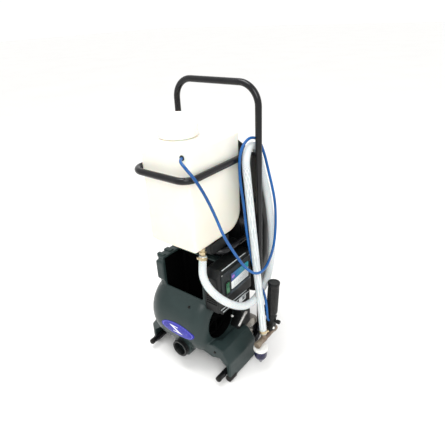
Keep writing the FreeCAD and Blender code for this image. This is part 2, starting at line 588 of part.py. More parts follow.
keep(less(cylinder(("0", "motor_y", case_base), "motor_r", "motor_height"),
          cylinder(("0", "motor_y", f"{case_base} - 1"), "motor_shaft_r + fan_gap", "motor_height - 20")),
     "vacuum_motor")
fan_base = ("0", "motor_y", "motor_base + fan_lift")
fan = joined(cylinder(fan_base, "fan_r", "fan_disc"), cylinder(fan_base, "fan_hub_r", "fan_thick"),
             cylinder(fan_base, "motor_shaft_r", "motor_height"))
blades = []
for step in range(int(size.blade_count)):
    blade = doc.addObject("Part::Box", "blade")
    bind(blade, Length="fan_r - blade_start - 4", Width="blade_thick", Height="fan_thick")
    turn = Rotation(Vector(0, 0, 1), 360 / size.blade_count * step)
    low = turn.multVec(Vector(size.blade_start, -size.blade_thick / 2, 0))
    put(blade, (f"({low.x})", f"motor_y + ({low.y})", "motor_base + fan_lift"), turn)
    blades.append(blade)
keep(joined(fan, *blades), "vacuum_fan")

# Wheels: two discs on one axle that passes through brackets on the frame's legs.
keep(cylinder(("-axle_half", "axle_y", "wheel_r"), "axle_r", "2 * axle_half", "X"), "axle")
hub_caps = []
brackets = []
for side, name in ((-1, "left"), (1, "right")):
    dish = "wheel_width - wheel_dish"
    outline = [("axle_r + axle_gap", "0"), ("wheel_r - wheel_round", "0"), ("wheel_r", "wheel_round"),
               ("wheel_r", "wheel_width - wheel_round"), ("wheel_r - wheel_round", "wheel_width"),
               ("wheel_r - wheel_rim", "wheel_width"), ("wheel_r - wheel_rim - wheel_round", dish),
               ("hub_r + wheel_round", dish), ("hub_r", "wheel_width"), ("axle_r + axle_gap", "wheel_width")]
    wheel = turned(outline, ("0", "0", "0"))
    facing = Rotation(Vector(0, 1, 0), 90 * side)
    put(wheel, (f"{side} * (wheel_outer - wheel_width)", "axle_y", "wheel_r"), facing)
    keep(wheel, f"wheel_{name}")
    cap_start = "wheel_outer + hub_gap" if side > 0 else "-wheel_outer - hub_gap - hub_length"
    hub_caps.append(ring((cap_start, "axle_y", "wheel_r"), "hub_r - 3", "axle_r", "hub_length", "X"))
    plate_start = "leg_x - tube_od / 2 - bracket_thick" if side > 0 else "tube_od / 2 - leg_x"
    plate = box(plate_start, f"{plate_start} + bracket_thick", "bracket_front", "bracket_back",
                "bracket_base", "bracket_top")
    axle_hole = cylinder((f"{plate_start} - 1", "axle_y", "wheel_r"), "axle_r", "bracket_thick + 2", "X")
    brackets.append(less(plate, axle_hole))
keep(joined(*hub_caps), "hub_caps")
keep(joined(*brackets), "axle_brackets")

# The solution tank on its tray, with the neck, the lid and the two fittings.
def low_back_edge(middle, along, edge):
    return abs(along.x) > 0.99 and middle.z < 1 and middle.y > size.lid_y


def tank_body(inset):
    left, right = f"tank_left + {inset}", f"tank_right - {inset}"
    front, back = f"tank_front + {inset}", f"tank_back - {inset}"
    body = padded([(left, front), (right, front), (right, back), (left, back)],
                  f"tank_top - tank_base - 2 * {inset}", at=("0", "0", f"tank_base + {inset}"))
    rounded(body, f"tank_back_curve - {inset}", low_back_edge)
    rounded(body, f"tank_corner - {inset}", upright)
    return body


tank = joined(tank_body("0"), cylinder(("lid_x", "lid_y", "tank_top - 2"), "neck_r", "neck_height + 2"))
neck_hole = cylinder(("lid_x", "lid_y", "tank_top - 20"), "neck_bore", "neck_height + 30")
outlet_hole = cylinder(("outlet_x", "outlet_y", "tank_base - 2"), "outlet_bore", "tank_wall + 4")
line_hole = cylinder(("grommet_x", "tank_front - 2", "grommet_z"), "line_od / 2 + 2", "tank_wall + 4", "Y")
keep(less(tank, tank_body("tank_wall"), neck_hole, outlet_hole, line_hole), "solution_tank")

lid_skirt = "neck_r + lid_play"
lid_top = "(lid_side + lid_dome)"
lid = turned([(lid_skirt, "0"), ("lid_r", "0"), ("lid_r", "lid_side"), ("lid_dome_r + 8", "lid_side + 12"),
              ("lid_dome_r - 4", f"{lid_top} - 4"), ("lid_flat_r", lid_top), ("0", lid_top),
              ("0", f"{lid_top} - lid_wall"), ("lid_flat_r - 2", f"{lid_top} - lid_wall"),
              ("lid_dome_r - 8", f"{lid_top} - 6 - lid_wall"),
              ("lid_dome_r + 2", "lid_side + 8"), (lid_skirt, "lid_side - lid_wall")],
             ("lid_x", "lid_y", "lid_base"))
keep(lid, "tank_lid")
keep(ring(("lid_x", "lid_y", "tank_top + neck_height"), "neck_r", "neck_bore", "seal_thick"), "lid_seal")
keep(less(ring(("grommet_x", "tank_front - grommet_length + 3", "grommet_z"), "grommet_od / 2",
               "line_od / 2 + gap", "grommet_length + 6", "Y"), tank_body("0")), "line_grommet")
outlet = less(joined(cylinder(("outlet_x", "outlet_y", "tank_base - outlet_flange"), "outlet_flange_r",
                              "outlet_flange"),
                     cylinder(("outlet_x", "outlet_y", "outlet_end"), "outlet_r", "tank_base - outlet_end")),
              cylinder(("outlet_x", "outlet_y", "outlet_end - 1"), "outlet_bore",
                       "tank_base - outlet_end + 2"))
keep(outlet, "tank_outlet")
keep(block("tray_left", "tray_right", "tray_front", "tray_back", "shelf_hoop_z + tube_od / 2 + gap",
           "tank_base - gap", "tray_edge"), "tank_tray")

# The float valve: a slotted cage under the suction pipe, with the ball that rises and shuts it.
slot_base, slot_top = "cage_base + slot_low", "cage_base + cage_height - slot_high"
cage = less(cylinder(("float_x", "float_y", "cage_base"), "cage_r", "cage_height"),
            cylinder(("float_x", "float_y", "cage_base + cage_end"), "cage_r - cage_wall",
                     "cage_height - 2 * cage_end"),
            cylinder(("float_x", "float_y", "cage_base + cage_height - cage_end - 1"), "seat_r",
                     "cage_end + 2"),
            box("float_x - slot_half", "float_x + slot_half", "float_y - cage_r - 1", "float_y + cage_r + 1",
                slot_base, slot_top),
            box("float_x - cage_r - 1", "float_x + cage_r + 1", "float_y - slot_half", "float_y + slot_half",
                slot_base, slot_top))
keep(cage, "float_cage")
ball = doc.addObject("Part::Sphere", "ball")
bind(ball, Radius="ball_r")
keep(put(ball, ("float_x", "float_y", "ball_z")), "float_ball")
keep(ring(("float_x", "float_y", "cage_base + cage_height"), "pipe_r - gap", "pipe_r - pipe_wall",
          "pipe_top - cage_base - cage_height"), "suction_pipe")

# The solution pump on the right: bracket, head, motor, shaft, knob, inlet pipe, strainer.
tilt = Rotation(Vector(1, 0, 0), -size.pump_lean)


def pump_point(up, along=0, across=0):
    """A point on the leaning pump's axis, a height above its foot."""
    move = tilt.multVec(Vector(across, along, up))
    return (f"pump_x + ({move.x})", f"pump_y + ({move.y})", f"head_base + ({move.z})")


def pump_round(up, r, length):
    return cylinder(pump_point(up), r, length, turn=tilt)


shaft_hole_r = "pump_shaft_r + pump_shaft_gap"
shaft_foot = size.head_height - size.pump_shaft_foot
boss = cylinder(("pump_x - boss_reach", "pump_y", "boss_z"), "boss_r", "boss_length", "X")
head = less(joined(pump_round(0, "head_r", "head_height"), boss),
            pump_round(shaft_foot - 2, shaft_hole_r, "pump_shaft_foot + 3"),
            cylinder(("pump_x", "inlet_front", "inlet_z"), "inlet_r + gap",
                     "inlet_back - inlet_front + 60", "Y"))
keep(head, "pump_head")
motor_case = less(pump_round(size.head_height + size.gap, "motor_case_r", "motor_case_height"),
                  pump_round(size.head_height - 1, shaft_hole_r, "pump_shaft_length - pump_shaft_foot + 19"))
keep(motor_case, "pump_motor")
cap_height = size.head_height + 2 * size.gap + size.motor_case_height
keep(pump_round(cap_height, "motor_cap_r", "motor_cap_height"), "pump_motor_cap")
keep(pump_round(shaft_foot, "pump_shaft_r", "pump_shaft_length"), "pump_shaft")
knob_at = ("pump_x + head_r + knob_gap", "pump_y + knob_back", "knob_z")
keep(cylinder(knob_at, "knob_r", "knob_length", "X"), "pressure_knob")
arm = less(box("leg_x + tube_od / 2 - 4", "pump_x - arm_end", "-arm_thick / 2", "arm_thick / 2", "arm_z",
               "arm_z + arm_height"),
           cylinder(("leg_x", "0", "arm_z - 1"), "tube_od / 2", "arm_height + 2"),
           pump_round(-20, "head_r + gap", "head_height + 60"),
           cylinder(("pump_x - boss_reach - gap", "pump_y", "boss_z"), "boss_r + gap", "boss_length + 4",
                    "X"))
keep(arm, "pump_bracket")
inlet = joined(cylinder(("pump_x", "inlet_front", "inlet_z"), "inlet_r", "inlet_back - inlet_front", "Y"),
               cylinder(("pump_x", "barb_y", "inlet_z"), "barb_r", "barb_top - inlet_z"))
keep(inlet, "inlet_pipe")
ring_base = "inlet_z - inlet_r - ring_plate - ring_height"
keep(less(cylinder(("bowl_x", "bowl_y", ring_base), "ring_r", "ring_height + ring_plate"),
          cylinder(("bowl_x", "bowl_y", f"{ring_base} - 1"), "bowl_r + bowl_fit", "ring_height + 1")),
     "strainer_ring")
bowl_base = f"{ring_base} + ring_height - knob_gap - bowl_height"
bowl = turned([("0", "0"), ("bowl_tip_r", "0"), ("bowl_r - 5", "bowl_slope_low"),
               ("bowl_r", "bowl_slope_high"), ("bowl_r", "bowl_height"),
               ("bowl_r - bowl_wall", "bowl_height"),
               ("bowl_r - bowl_wall", "bowl_slope_high"), ("bowl_r - 5 - bowl_wall", "bowl_slope_low + 1"),
               ("bowl_tip_r - bowl_wall", "bowl_foot"), ("0", "bowl_foot")],
              ("bowl_x", "bowl_y", bowl_base))
keep(bowl, "strainer_bowl")

# The drain hose: out of the tank's outlet, round the right side, up behind the leg, over, and straight down
# to the pump. The points are chosen by hand.
HOSE_POINTS = [
    (90, -218, 500), (93, -228, 468), (108, -247, 441), (137, -259, 417), (166, -253, 390), (187, -229, 357),
    (200, -194, 325), (207, -154, 300), (207, -112, 287), (203, -70, 284), (201, -30, 294), (201, 4, 318),
    (201, 28, 358), (200, 42, 420), (198, 42, 492), (193, 42, 560), (184, 42, 622), (170, 42, 680),
    (153, 42, 738), (144, 38, 792), (143, 16, 826), (143, -18, 827), (145, -39, 790), (244, -87, 147),
]
cord("drain_hose", HOSE_POINTS, size.hose_od)

# The pressure line: out of the tank's grommet, down beside the hose, up with it and down again to the pump.
LINE_POINTS = [
    (80, -262, 851), (82, -286, 851), (104, -306, 843), (136, -302, 812), (154, -281, 750), (169, -254, 680),
    (186, -223, 604), (204, -193, 532), (222, -163, 469), (236, -130, 433), (240, -97, 422), (238, -62, 421),
    (231, -27, 433), (226, 6, 459), (223, 25, 507), (221, 30, 571), (216, 32, 633), (203, 32, 690),
    (186, 34, 744), (169, 39, 793), (155, 26, 845), (146, -12, 860), (139, -44, 840), (134, -58, 797),
    (140, -66, 726), (152, -63, 640), (165, -70, 545), (176, -60, 440), (201, -53, 345), (226, -50, 298),
    (238, -56, 250), (245, -62, 214), (245, -60, 192), (244, -50, 184),
]
cord("pressure_line", LINE_POINTS, size.line_od)

# The brass clamps at the hose's two ends.
clamp_inner = size.hose_od / 2 + size.clamp_gap
rings = []
for end, beyond in ((HOSE_POINTS[0], HOSE_POINTS[1]), (HOSE_POINTS[-1], HOSE_POINTS[-2])):
    along = (Vector(*beyond) - Vector(*end)).normalize()
    base = Vector(*end) + along * size.clamp_inset
    outer = Part.makeCylinder(clamp_inner + size.clamp_thick, size.clamp_width, base, along)
    rings.append(outer.cut(Part.makeCylinder(clamp_inner, size.clamp_width, base, along)))
keep_shape(Part.makeCompound(rings), "hose_clamps")

doc.recompute()
faults = []
for thing in doc.Objects:
    if "Invalid" in thing.State or "Error" in thing.State:
        faults.append(f"{thing.Name} {thing.Label} {thing.State}")
for piece in KEPT:
    if piece.Shape.isNull() or not piece.Shape.isValid():
        faults.append(f"{piece.Label} has no valid shape")
if faults:
    raise RuntimeError("\n".join(faults))
os.makedirs("parts", exist_ok=True)
for piece in KEPT:
    piece.Shape.exportStep(f"parts/{piece.Label}.step")
print(len(KEPT), "pieces written")
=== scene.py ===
import math

import bpy
from mathutils import Matrix, Vector


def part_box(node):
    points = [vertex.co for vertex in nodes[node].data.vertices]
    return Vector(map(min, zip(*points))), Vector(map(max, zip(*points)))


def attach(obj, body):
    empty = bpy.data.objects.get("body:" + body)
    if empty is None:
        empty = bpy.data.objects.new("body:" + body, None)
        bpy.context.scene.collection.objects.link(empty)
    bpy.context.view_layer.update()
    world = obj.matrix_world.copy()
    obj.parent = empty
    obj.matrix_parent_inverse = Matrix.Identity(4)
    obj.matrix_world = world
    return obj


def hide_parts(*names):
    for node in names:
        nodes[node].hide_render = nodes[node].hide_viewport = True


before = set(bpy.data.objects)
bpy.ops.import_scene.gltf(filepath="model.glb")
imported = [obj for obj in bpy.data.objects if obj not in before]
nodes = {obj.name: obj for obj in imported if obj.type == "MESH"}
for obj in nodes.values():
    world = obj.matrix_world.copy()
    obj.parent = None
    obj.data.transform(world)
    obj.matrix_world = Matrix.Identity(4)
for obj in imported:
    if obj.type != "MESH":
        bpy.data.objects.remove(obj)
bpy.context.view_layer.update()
UP = Vector((0, 0, 1))
RIGHT = Vector((1, 0, 0))
REAR = Vector((0, 1, 0))

# --------------------------------------------------------------------------------------------------
# Carrying frame. One length of 22 mm steel tube, bent into the push handle at the top and two feet at
# the floor, and powder coated gloss black. A ribbed black plug is pushed into each foot's open end.
TUBE_RADIUS = 0.011
frame_low, frame_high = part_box("frame_tube")
middle_x = (frame_low.x + frame_high.x) / 2
leg_y = frame_high.y - TUBE_RADIUS


def spot(x, y, z):
    """A place in millimetres from the middle of the frame's legs at the floor: x right, y rear, z up."""
    return Vector((middle_x + x / 1000, leg_y + y / 1000, z / 1000))


def noise(tree, place, scale, detail=3.0):
    made = tree.nodes.new("ShaderNodeTexNoise")
    made.inputs["Scale"].default_value = scale
    made.inputs["Detail"].default_value = detail
    tree.links.new(place, made.inputs["Vector"])
    return made.outputs["Fac"]


def shades(tree, driver, stops, mode="LINEAR"):
    """A colour that runs through the stops as a value goes from 0 to 1."""
    made = tree.nodes.new("ShaderNodeValToRGB")
    line = made.color_ramp
    line.interpolation = mode
    while len(line.elements) < len(stops):
        line.elements.new(0.5)
    for element, (at, colour) in zip(line.elements, stops):
        element.position = at
        element.color = (*colour, 1)
    tree.links.new(driver, made.inputs["Fac"])
    return made.outputs["Color"]


def spread(tree, driver, low, high, start=0.0, end=1.0):
    """A value that goes from low to high while another goes from start to end."""
    made = tree.nodes.new("ShaderNodeMapRange")
    for word, value in (("From Min", start), ("From Max", end), ("To Min", low), ("To Max", high)):
        made.inputs[word].default_value = value
    tree.links.new(driver, made.inputs["Value"])
    return made.outputs["Result"]


def raised(tree, height, strength, distance, below=None):
    made = tree.nodes.new("ShaderNodeBump")
    made.inputs["Strength"].default_value = strength
    made.inputs["Distance"].default_value = distance
    tree.links.new(height, made.inputs["Height"])
    if below:
        tree.links.new(below, made.inputs["Normal"])
    return made.outputs["Normal"]


def finish_of(name, light, dark, rough, patch=9.0, grain=350.0, relief=0.15, **shader):
    """A finish whose two near shades drift in soft patches, with a fine grain that lifts the skin."""
    made = bpy.data.materials.new(name)
    made.use_nodes = True
    tree = made.node_tree
    skin = tree.nodes["Principled BSDF"]
    place = tree.nodes.new("ShaderNodeTexCoord").outputs["Object"]
    patches = noise(tree, place, patch)
    fine = noise(tree, place, grain, 2.0)
    tree.links.new(shades(tree, patches, [(0.35, dark), (0.65, light)]), skin.inputs["Base Color"])
    tree.links.new(spread(tree, noise(tree, place, patch * 6), rough - 0.07, rough + 0.07, 0.3, 0.7),
                   skin.inputs["Roughness"])
    tree.links.new(raised(tree, fine, relief, 0.0005), skin.inputs["Normal"])
    for word, value in shader.items():
        skin.inputs[word.replace("_", " ")].default_value = value
    return made


def alone(piece):
    bpy.ops.object.select_all(action="DESELECT")
    piece.select_set(True)
    bpy.context.view_layer.objects.active = piece


def painted(material, *names):
    """Gives CAD nodes a finish."""
    for name in names:
        slots = nodes[name].data.materials
        slots.clear()
        slots.append(material)


def dressed(piece, name, material, body="machine", stands_for=()):
    """Settles a finished piece: its place goes into its mesh, and it gets its name, finish and body."""
    alone(piece)
    bpy.ops.object.transform_apply(location=True, rotation=True, scale=True)
    piece.name = name
    piece.data.name = name
    piece.data.materials.clear()
    piece.data.materials.append(material)
    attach(piece, body)
    if stands_for:
        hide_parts(*stands_for)
    return piece


def smoothed(piece, degrees=35):
    alone(piece)
    bpy.ops.object.shade_smooth_by_angle(angle=math.radians(degrees))
    return piece


def closed_up():
    """Merges doubles, turns every face outwards and leaves edit mode."""
    bpy.ops.mesh.select_all(action="SELECT")
    bpy.ops.mesh.remove_doubles(threshold=0.00001)
    bpy.ops.mesh.normals_make_consistent(inside=False)
    bpy.ops.object.mode_set(mode="OBJECT")
    return bpy.context.object


def traced(points):
    """A chain of edges from one vertex through the points, left open for editing."""
    bpy.ops.object.select_all(action="DESELECT")
    bpy.ops.mesh.primitive_plane_add(size=0.001, location=points[0])
    bpy.ops.object.transform_apply(location=True)
    bpy.ops.object.mode_set(mode="EDIT")
    bpy.ops.mesh.select_mode(type="VERT")
    bpy.ops.mesh.select_all(action="SELECT")
    bpy.ops.mesh.merge(type="CENTER")
    for here, there in zip(points, points[1:]):
        bpy.ops.mesh.extrude_region_move(TRANSFORM_OT_translate={"value": there - here})
    bpy.ops.mesh.select_all(action="SELECT")


def turned(profile, start, along, steps=64):
    """A turned piece: (radius, distance) corners in millimetres drawn beside an axis and spun round it."""
    side = along.orthogonal().normalized()
    traced([start + side * (radius / 1000) + along * (reach / 1000) for radius, reach in profile])
    bpy.ops.mesh.spin(steps=steps, angle=math.tau, center=start, axis=along)
    return smoothed(closed_up())


frame_black = finish_of("frame_black", (0.008, 0.008, 0.009), (0.004, 0.004, 0.005), 0.2, patch=30,
                        grain=220, relief=0.03, Specular_IOR_Level=0.25, Coat_Weight=0.12,
                        Coat_Roughness=0.08)
painted(frame_black, "frame_tube")
plug_black = finish_of("plug_black", (0.012, 0.011, 0.01), (0.006, 0.006, 0.005), 0.5,
                       Specular_IOR_Level=0.2)
PLUG = [(0, 12), (8, 11.6), (10.2, 10), (11, 7.5), (11, 5.5), (10.2, 5), (10.2, 4), (11, 3.5), (11, 0),
        (0, 0)]
plug_place = {"left": spot(-171, -270, 33), "right": spot(171, -270, 33)}
for side, place in plug_place.items():
    plug = turned(PLUG, place, -REAR, steps=40)
    dressed(plug, f"foot_plug_{side}", plug_black, stands_for=["frame_caps"])

# --------------------------------------------------------------------------------------------------
# Hoops and uprights. Two bent tubes hold the solution tank and its tray. Their ends are welded to flat
# bars that are bolted across the legs, and the weld beads show as rough rings under the same black coat.
painted(frame_black, "tank_hoop", "shelf_hoop", "cross_bars", "upright_left", "upright_right",
        "hose_hanger", "axle_brackets", "pump_bracket")


def shaped(piece, kind, **settings):
    """Adds a modifier and applies it."""
    alone(piece)
    step = piece.modifiers.new("step", kind)
    for word, value in settings.items():
        setattr(step, word, value)
    bpy.ops.object.modifier_apply(modifier=step.name)
    return piece


def softened(width, *names):
    """Lets CAD nodes' edges catch the light: their corners are joined and bevelled by live modifiers."""
    for name in names:
        nodes[name].modifiers.new("join", "WELD").merge_threshold = 0.00002
        edge = nodes[name].modifiers.new("soft_edge", "BEVEL")
        edge.width = width / 1000
        edge.segments = 2
        edge.limit_method = "ANGLE"
        edge.angle_limit = math.radians(40)


softened(0.8, "upright_left", "upright_right", "cross_bars", "axle_brackets", "pump_bracket")
weld_black = finish_of("weld_black", (0.01, 0.01, 0.01), (0.005, 0.005, 0.005), 0.4, patch=120, grain=180,
                       relief=0.6, Specular_IOR_Level=0.25)
WELD_HEIGHTS = (789, 480)
WELD_REACH = 115
for height in WELD_HEIGHTS:
    for side, mark in ((-1, "left"), (1, "right")):
        bpy.ops.object.select_all(action="DESELECT")
        bpy.ops.mesh.primitive_torus_add(major_radius=TUBE_RADIUS, minor_radius=0.002, major_segments=48,
                                         minor_segments=10, location=spot(WELD_REACH * side, 3, height),
                                         rotation=(math.pi / 2, 0, 0))
        bead = smoothed(shaped(bpy.context.object, "CAST", factor=0.02))
        dressed(bead, f"weld_{mark}_{height}", weld_black)

steel = finish_of("steel", (0.62, 0.61, 0.58), (0.4, 0.39, 0.37), 0.34, patch=60, grain=900, relief=0.1,
                  Metallic=1.0)
BOLT = [(0, 6.6), (5, 6.6), (6.6, 5.4), (6.6, 1.2), (7, 1.2), (7, 0), (0, 0)]
BOLT_HEIGHTS = (365, 615)
BOLT_REACH = 102
for side, mark in ((-1, "left"), (1, "right")):
    for height in BOLT_HEIGHTS:
        bolt = turned(BOLT, spot(BOLT_REACH * side, 9, height), REAR, steps=6)
        dressed(bolt, f"upright_bolt_{mark}_{height}", steel, stands_for=["upright_bolts"])

# --------------------------------------------------------------------------------------------------
# Recovery drum. A rotationally moulded polyethylene barrel with an open throat on top, a round air
# intake on its right and two skids under it, all one green-grey moulding with soft corners.
def worked(tree, kind, first, second=None):
    """One arithmetic step between two values or sockets."""
    made = tree.nodes.new("ShaderNodeMath")
    made.operation = kind
    for socket, value in zip(made.inputs, (first, second)):
        if isinstance(value, bpy.types.NodeSocket):
            tree.links.new(value, socket)
        elif value is not None:
            socket.default_value = value
    return made.outputs["Value"]


def laid_over(tree, below, above, share):
    """One colour laid over another where a share is 1."""
    made = tree.nodes.new("ShaderNodeMix")
    made.data_type = "RGBA"
    for number, value in ((0, share), (6, below), (7, above)):
        if isinstance(value, bpy.types.NodeSocket):
            tree.links.new(value, made.inputs[number])
        else:
            made.inputs[number].default_value = (*value, 1)
    return made.outputs[2]


def within(tree, value, low, high):
    """1 where a value is between two others."""
    return worked(tree, "MULTIPLY", worked(tree, "GREATER_THAN", value, low),
                  worked(tree, "LESS_THAN", value, high))


def both(tree, *shares):
    held = shares[0]
    for share in shares[1:]:
        held = worked(tree, "MULTIPLY", held, share)
    return held


def coordinates(tree):
    """The piece's own x, y and z."""
    made = tree.nodes.new("ShaderNodeSeparateXYZ")
    tree.links.new(tree.nodes.new("ShaderNodeTexCoord").outputs["Object"], made.inputs[0])
    return made.outputs


def in_box(tree, low, high):
    """1 inside a box of the piece's own coordinates."""
    return both(tree, *(within(tree, value, *ends) for value, *ends in zip(coordinates(tree), low, high)))


def off_squared(tree, *pairs):
    """How far a place is from a middle, squared, from pairs of a value and its middle."""
    total = 0.0
    for value, middle in pairs:
        off = worked(tree, "ABSOLUTE", worked(tree, "SUBTRACT", value, middle))
        total = worked(tree, "ADD", worked(tree, "POWER", off, 2), total)
    return total


def overprinted(material, *layers):
    """Lays colours over a finish's own colour in turn, each where its share is 1."""
    tree = material.node_tree
    colour_in = tree.nodes["Principled BSDF"].inputs["Base Color"]
    colour = colour_in.links[0].from_socket
    for above, share in layers:
        colour = laid_over(tree, colour, above, share)
    tree.links.new(colour, colour_in)


def darkened(material, where):
    """Paints shade: makes a finish a matt near black where a share is 1."""
    overprinted(material, ((0.002, 0.002, 0.002), where))
    tree = material.node_tree
    for word, dull in (("Specular IOR Level", 0.02), ("Coat Weight", 0.0)):
        socket = tree.nodes["Principled BSDF"].inputs[word]
        tree.links.new(spread(tree, where, socket.default_value, dull), socket)


drum_green = finish_of("drum_green", (0.021, 0.035, 0.034), (0.014, 0.025, 0.0245), 0.36, patch=7,
                       grain=420, relief=0.25, Specular_IOR_Level=0.22, Coat_Weight=0.06,
                       Coat_Roughness=0.25)
BARREL_LEFT, BARREL_RIGHT, BARREL_RADIUS = -190, 105, 145
THROAT_OUTER = (-138, 90, -222, -98)
THROAT_INNER = (-104, 76, -216, -112)
INTAKE_Y, INTAKE_Z, INTAKE_RADIUS = -158, 196, 72
PORT_Z = 97
tree = drum_green.node_tree
# Painted shade: the inside of the throat and the walls of the intake recess are made a matt near black.
throat_painted_shade = in_box(tree, spot(-105.5, -214, 106), spot(77.5, -110.5, 421))
x, y, z = coordinates(tree)
from_axis = off_squared(tree, (y, spot(0, INTAKE_Y, 0).y), (z, spot(0, 0, INTAKE_Z).z))
mask_radius = (INTAKE_RADIUS + 1.5) / 1000
intake = both(tree, worked(tree, "LESS_THAN", from_axis, mask_radius ** 2),
              within(tree, x, spot(62, 0, 0).x, spot(104.6, 0, 0).x))
darkened(drum_green, worked(tree, "MAXIMUM", throat_painted_shade, intake))


def slab(left, right, front, back, base, top):
    """A block between six planes, in millimetres."""
    bpy.ops.object.select_all(action="DESELECT")
    low, high = spot(left, front, base), spot(right, back, top)
    bpy.ops.mesh.primitive_cube_add(size=1, location=(low + high) / 2, scale=high - low)
    bpy.ops.object.transform_apply(location=True, rotation=True, scale=True)
    return bpy.context.object


def rod(start, along, radius, length, sides=64):
    """A round bar from a start, along a direction, in millimetres."""
    bpy.ops.object.select_all(action="DESELECT")
    bpy.ops.mesh.primitive_cylinder_add(vertices=sides, radius=radius / 1000, depth=length / 1000,
                                        location=start + along * (length / 2000),
                                        rotation=UP.rotation_difference(along).to_euler())
    bpy.ops.object.transform_apply(location=True, rotation=True, scale=True)
    return bpy.context.object


def pulled(corners, push):
    """A solid drawn as a closed outline and pulled along a line."""
    traced(corners)
    bpy.ops.mesh.edge_face_add()
    bpy.ops.mesh.extrude_region_move(TRANSFORM_OT_translate={"value": push})
    return closed_up()


def in_edit(piece, choose="FACE"):
    """Opens a piece for editing with nothing selected."""
    alone(piece)
    bpy.ops.object.mode_set(mode="EDIT")
    bpy.ops.mesh.select_mode(type=choose)
    bpy.ops.mesh.select_all(action="DESELECT")


def rounded(piece, radius, test, segments=6):
    """Rounds the edges that a test of their middle and direction picks, by a radius in millimetres."""
    in_edit(piece, "EDGE")
    bpy.ops.object.mode_set(mode="OBJECT")
    corners = piece.data.vertices
    for edge in piece.data.edges:
        start, end = (corners[index].co for index in edge.vertices)
        edge.select = test((start + end) / 2, (end - start).normalized())
    bpy.ops.object.mode_set(mode="EDIT")
    bpy.ops.mesh.bevel(offset=radius / 1000, segments=segments, affect="EDGES", clamp_overlap=True)
    bpy.ops.object.mode_set(mode="OBJECT")
    return piece


def upright_edge(middle, along):
    return abs(along.z) > 0.99


def cut_by(piece, *tools, how="DIFFERENCE"):
    """Cuts tools out of a piece, or joins them to it with how="UNION", and removes them."""
    for tool in tools:
        shaped(piece, "BOOLEAN", operation=how, object=tool, solver="EXACT")
        bpy.data.objects.remove(tool)
    return piece


def moulded(piece, voxel, rounds):
    """Remakes a piece as one soft skin, from voxels in millimetres and rounds of smoothing."""
    shaped(piece, "REMESH", mode="VOXEL", voxel_size=voxel / 1000)
    shaped(piece, "SMOOTH", factor=0.5, iterations=rounds)
    return smoothed(piece, 60)


left_end, right_end = spot(BARREL_LEFT, 0, 0).x, spot(BARREL_RIGHT, 0, 0).x
drum = rod(spot(BARREL_LEFT, -140, 190), RIGHT, BARREL_RADIUS, BARREL_RIGHT - BARREL_LEFT, sides=128)
rounded(drum, 104, lambda middle, along: abs(middle.x - left_end) < 0.001, segments=16)
rounded(drum, 58, lambda middle, along: abs(middle.x - right_end) < 0.001, segments=10)
throat = rounded(slab(*THROAT_OUTER, 190, 424), 14, upright_edge)
port_boss = rod(spot(0, -272, PORT_Z), REAR, 41, 60)
cut_by(drum, throat, port_boss, how="UNION")
SKID = [(198, 5), (198, 88), (168, 130), (120, 142), (60, 120), (70, 90), (120, 80), (150, 92),
        (183, 64), (183, 5)]
for side in (-1, 1):
    skid = pulled([spot(x * side, -240, z) for x, z in SKID], REAR * 0.168)
    cut_by(drum, skid, how="UNION")
lip = rod(spot(-104, -219, 309), RIGHT, 6, 180, sides=24)
step_left = slab(-142, -104, -227, -206, 330, 408)
cut_by(drum, lip, step_left, how="UNION")
cut_by(drum, slab(*THROAT_INNER, 110, 430), slab(-104, 76, -262, -112, 313, 430),
       rod(spot(70, INTAKE_Y, INTAKE_Z), RIGHT, INTAKE_RADIUS, 60),
       rod(spot(0, -300, PORT_Z), REAR, 25, 100))
moulded(drum, 3.1, 7)
dressed(drum, "drum_moulding", drum_green,
        stands_for=["recovery_drum", "skid_left", "skid_right"])

# --------------------------------------------------------------------------------------------------
# Throat rim. The open end of the throat is stiffened by a flat collar in the same plastic. Its green
# is lighter than the drum's, painted light for its lit top. Three hinge lugs on its left would carry a
# cover, which isn't fitted.
# A lighter copy of the drum's green: painted light on the collar's lit top.
rim_green_lit = finish_of("rim_green_lit", (0.026, 0.043, 0.041), (0.018, 0.031, 0.03), 0.36, patch=12, grain=420,
                      relief=0.25, Specular_IOR_Level=0.25)


def eased(piece, width, segments=2):
    """Rounds off a piece's sharp edges by a width in millimetres."""
    shaped(piece, "BEVEL", width=width / 1000, segments=segments, limit_method="ANGLE",
           angle_limit=math.radians(35))
    return smoothed(piece)


rim = slab(*THROAT_OUTER, 423, 429)
rounded(rim, 12, upright_edge)
cut_by(rim, slab(-104, 76, -230, -132, 415, 440))
eased(rim, 1.2)
for front, reach in ((-214, 16), (-178, 22), (-132, 14)):
    lug = eased(slab(-143, -110, front, front + reach, 416, 433), 2.5, 3)
    cut_by(rim, lug, how="UNION")
smoothed(rim)
dressed(rim, "throat_collar", rim_green_lit, stands_for=["throat_rim"])

# --------------------------------------------------------------------------------------------------
# Blind plugs. Two small domed rubber plugs, pushed into moulding holes in the drum's face and in the
# right skid. Only their black heads show.
PLUG_HEAD = [(0, 2.6), (3.6, 2.2), (4.8, 0.8), (5, -3), (0, -3)]
for number, (place, along) in enumerate(((spot(34, -252, 284), Vector((0, -0.8, 0.6))),
                                         (spot(132, -241, 112), Vector((0.2, -0.98, 0))))):
    head = turned(PLUG_HEAD, place, along.normalized(), steps=24)
    dressed(head, f"blind_plug_{number + 1}", plug_black)

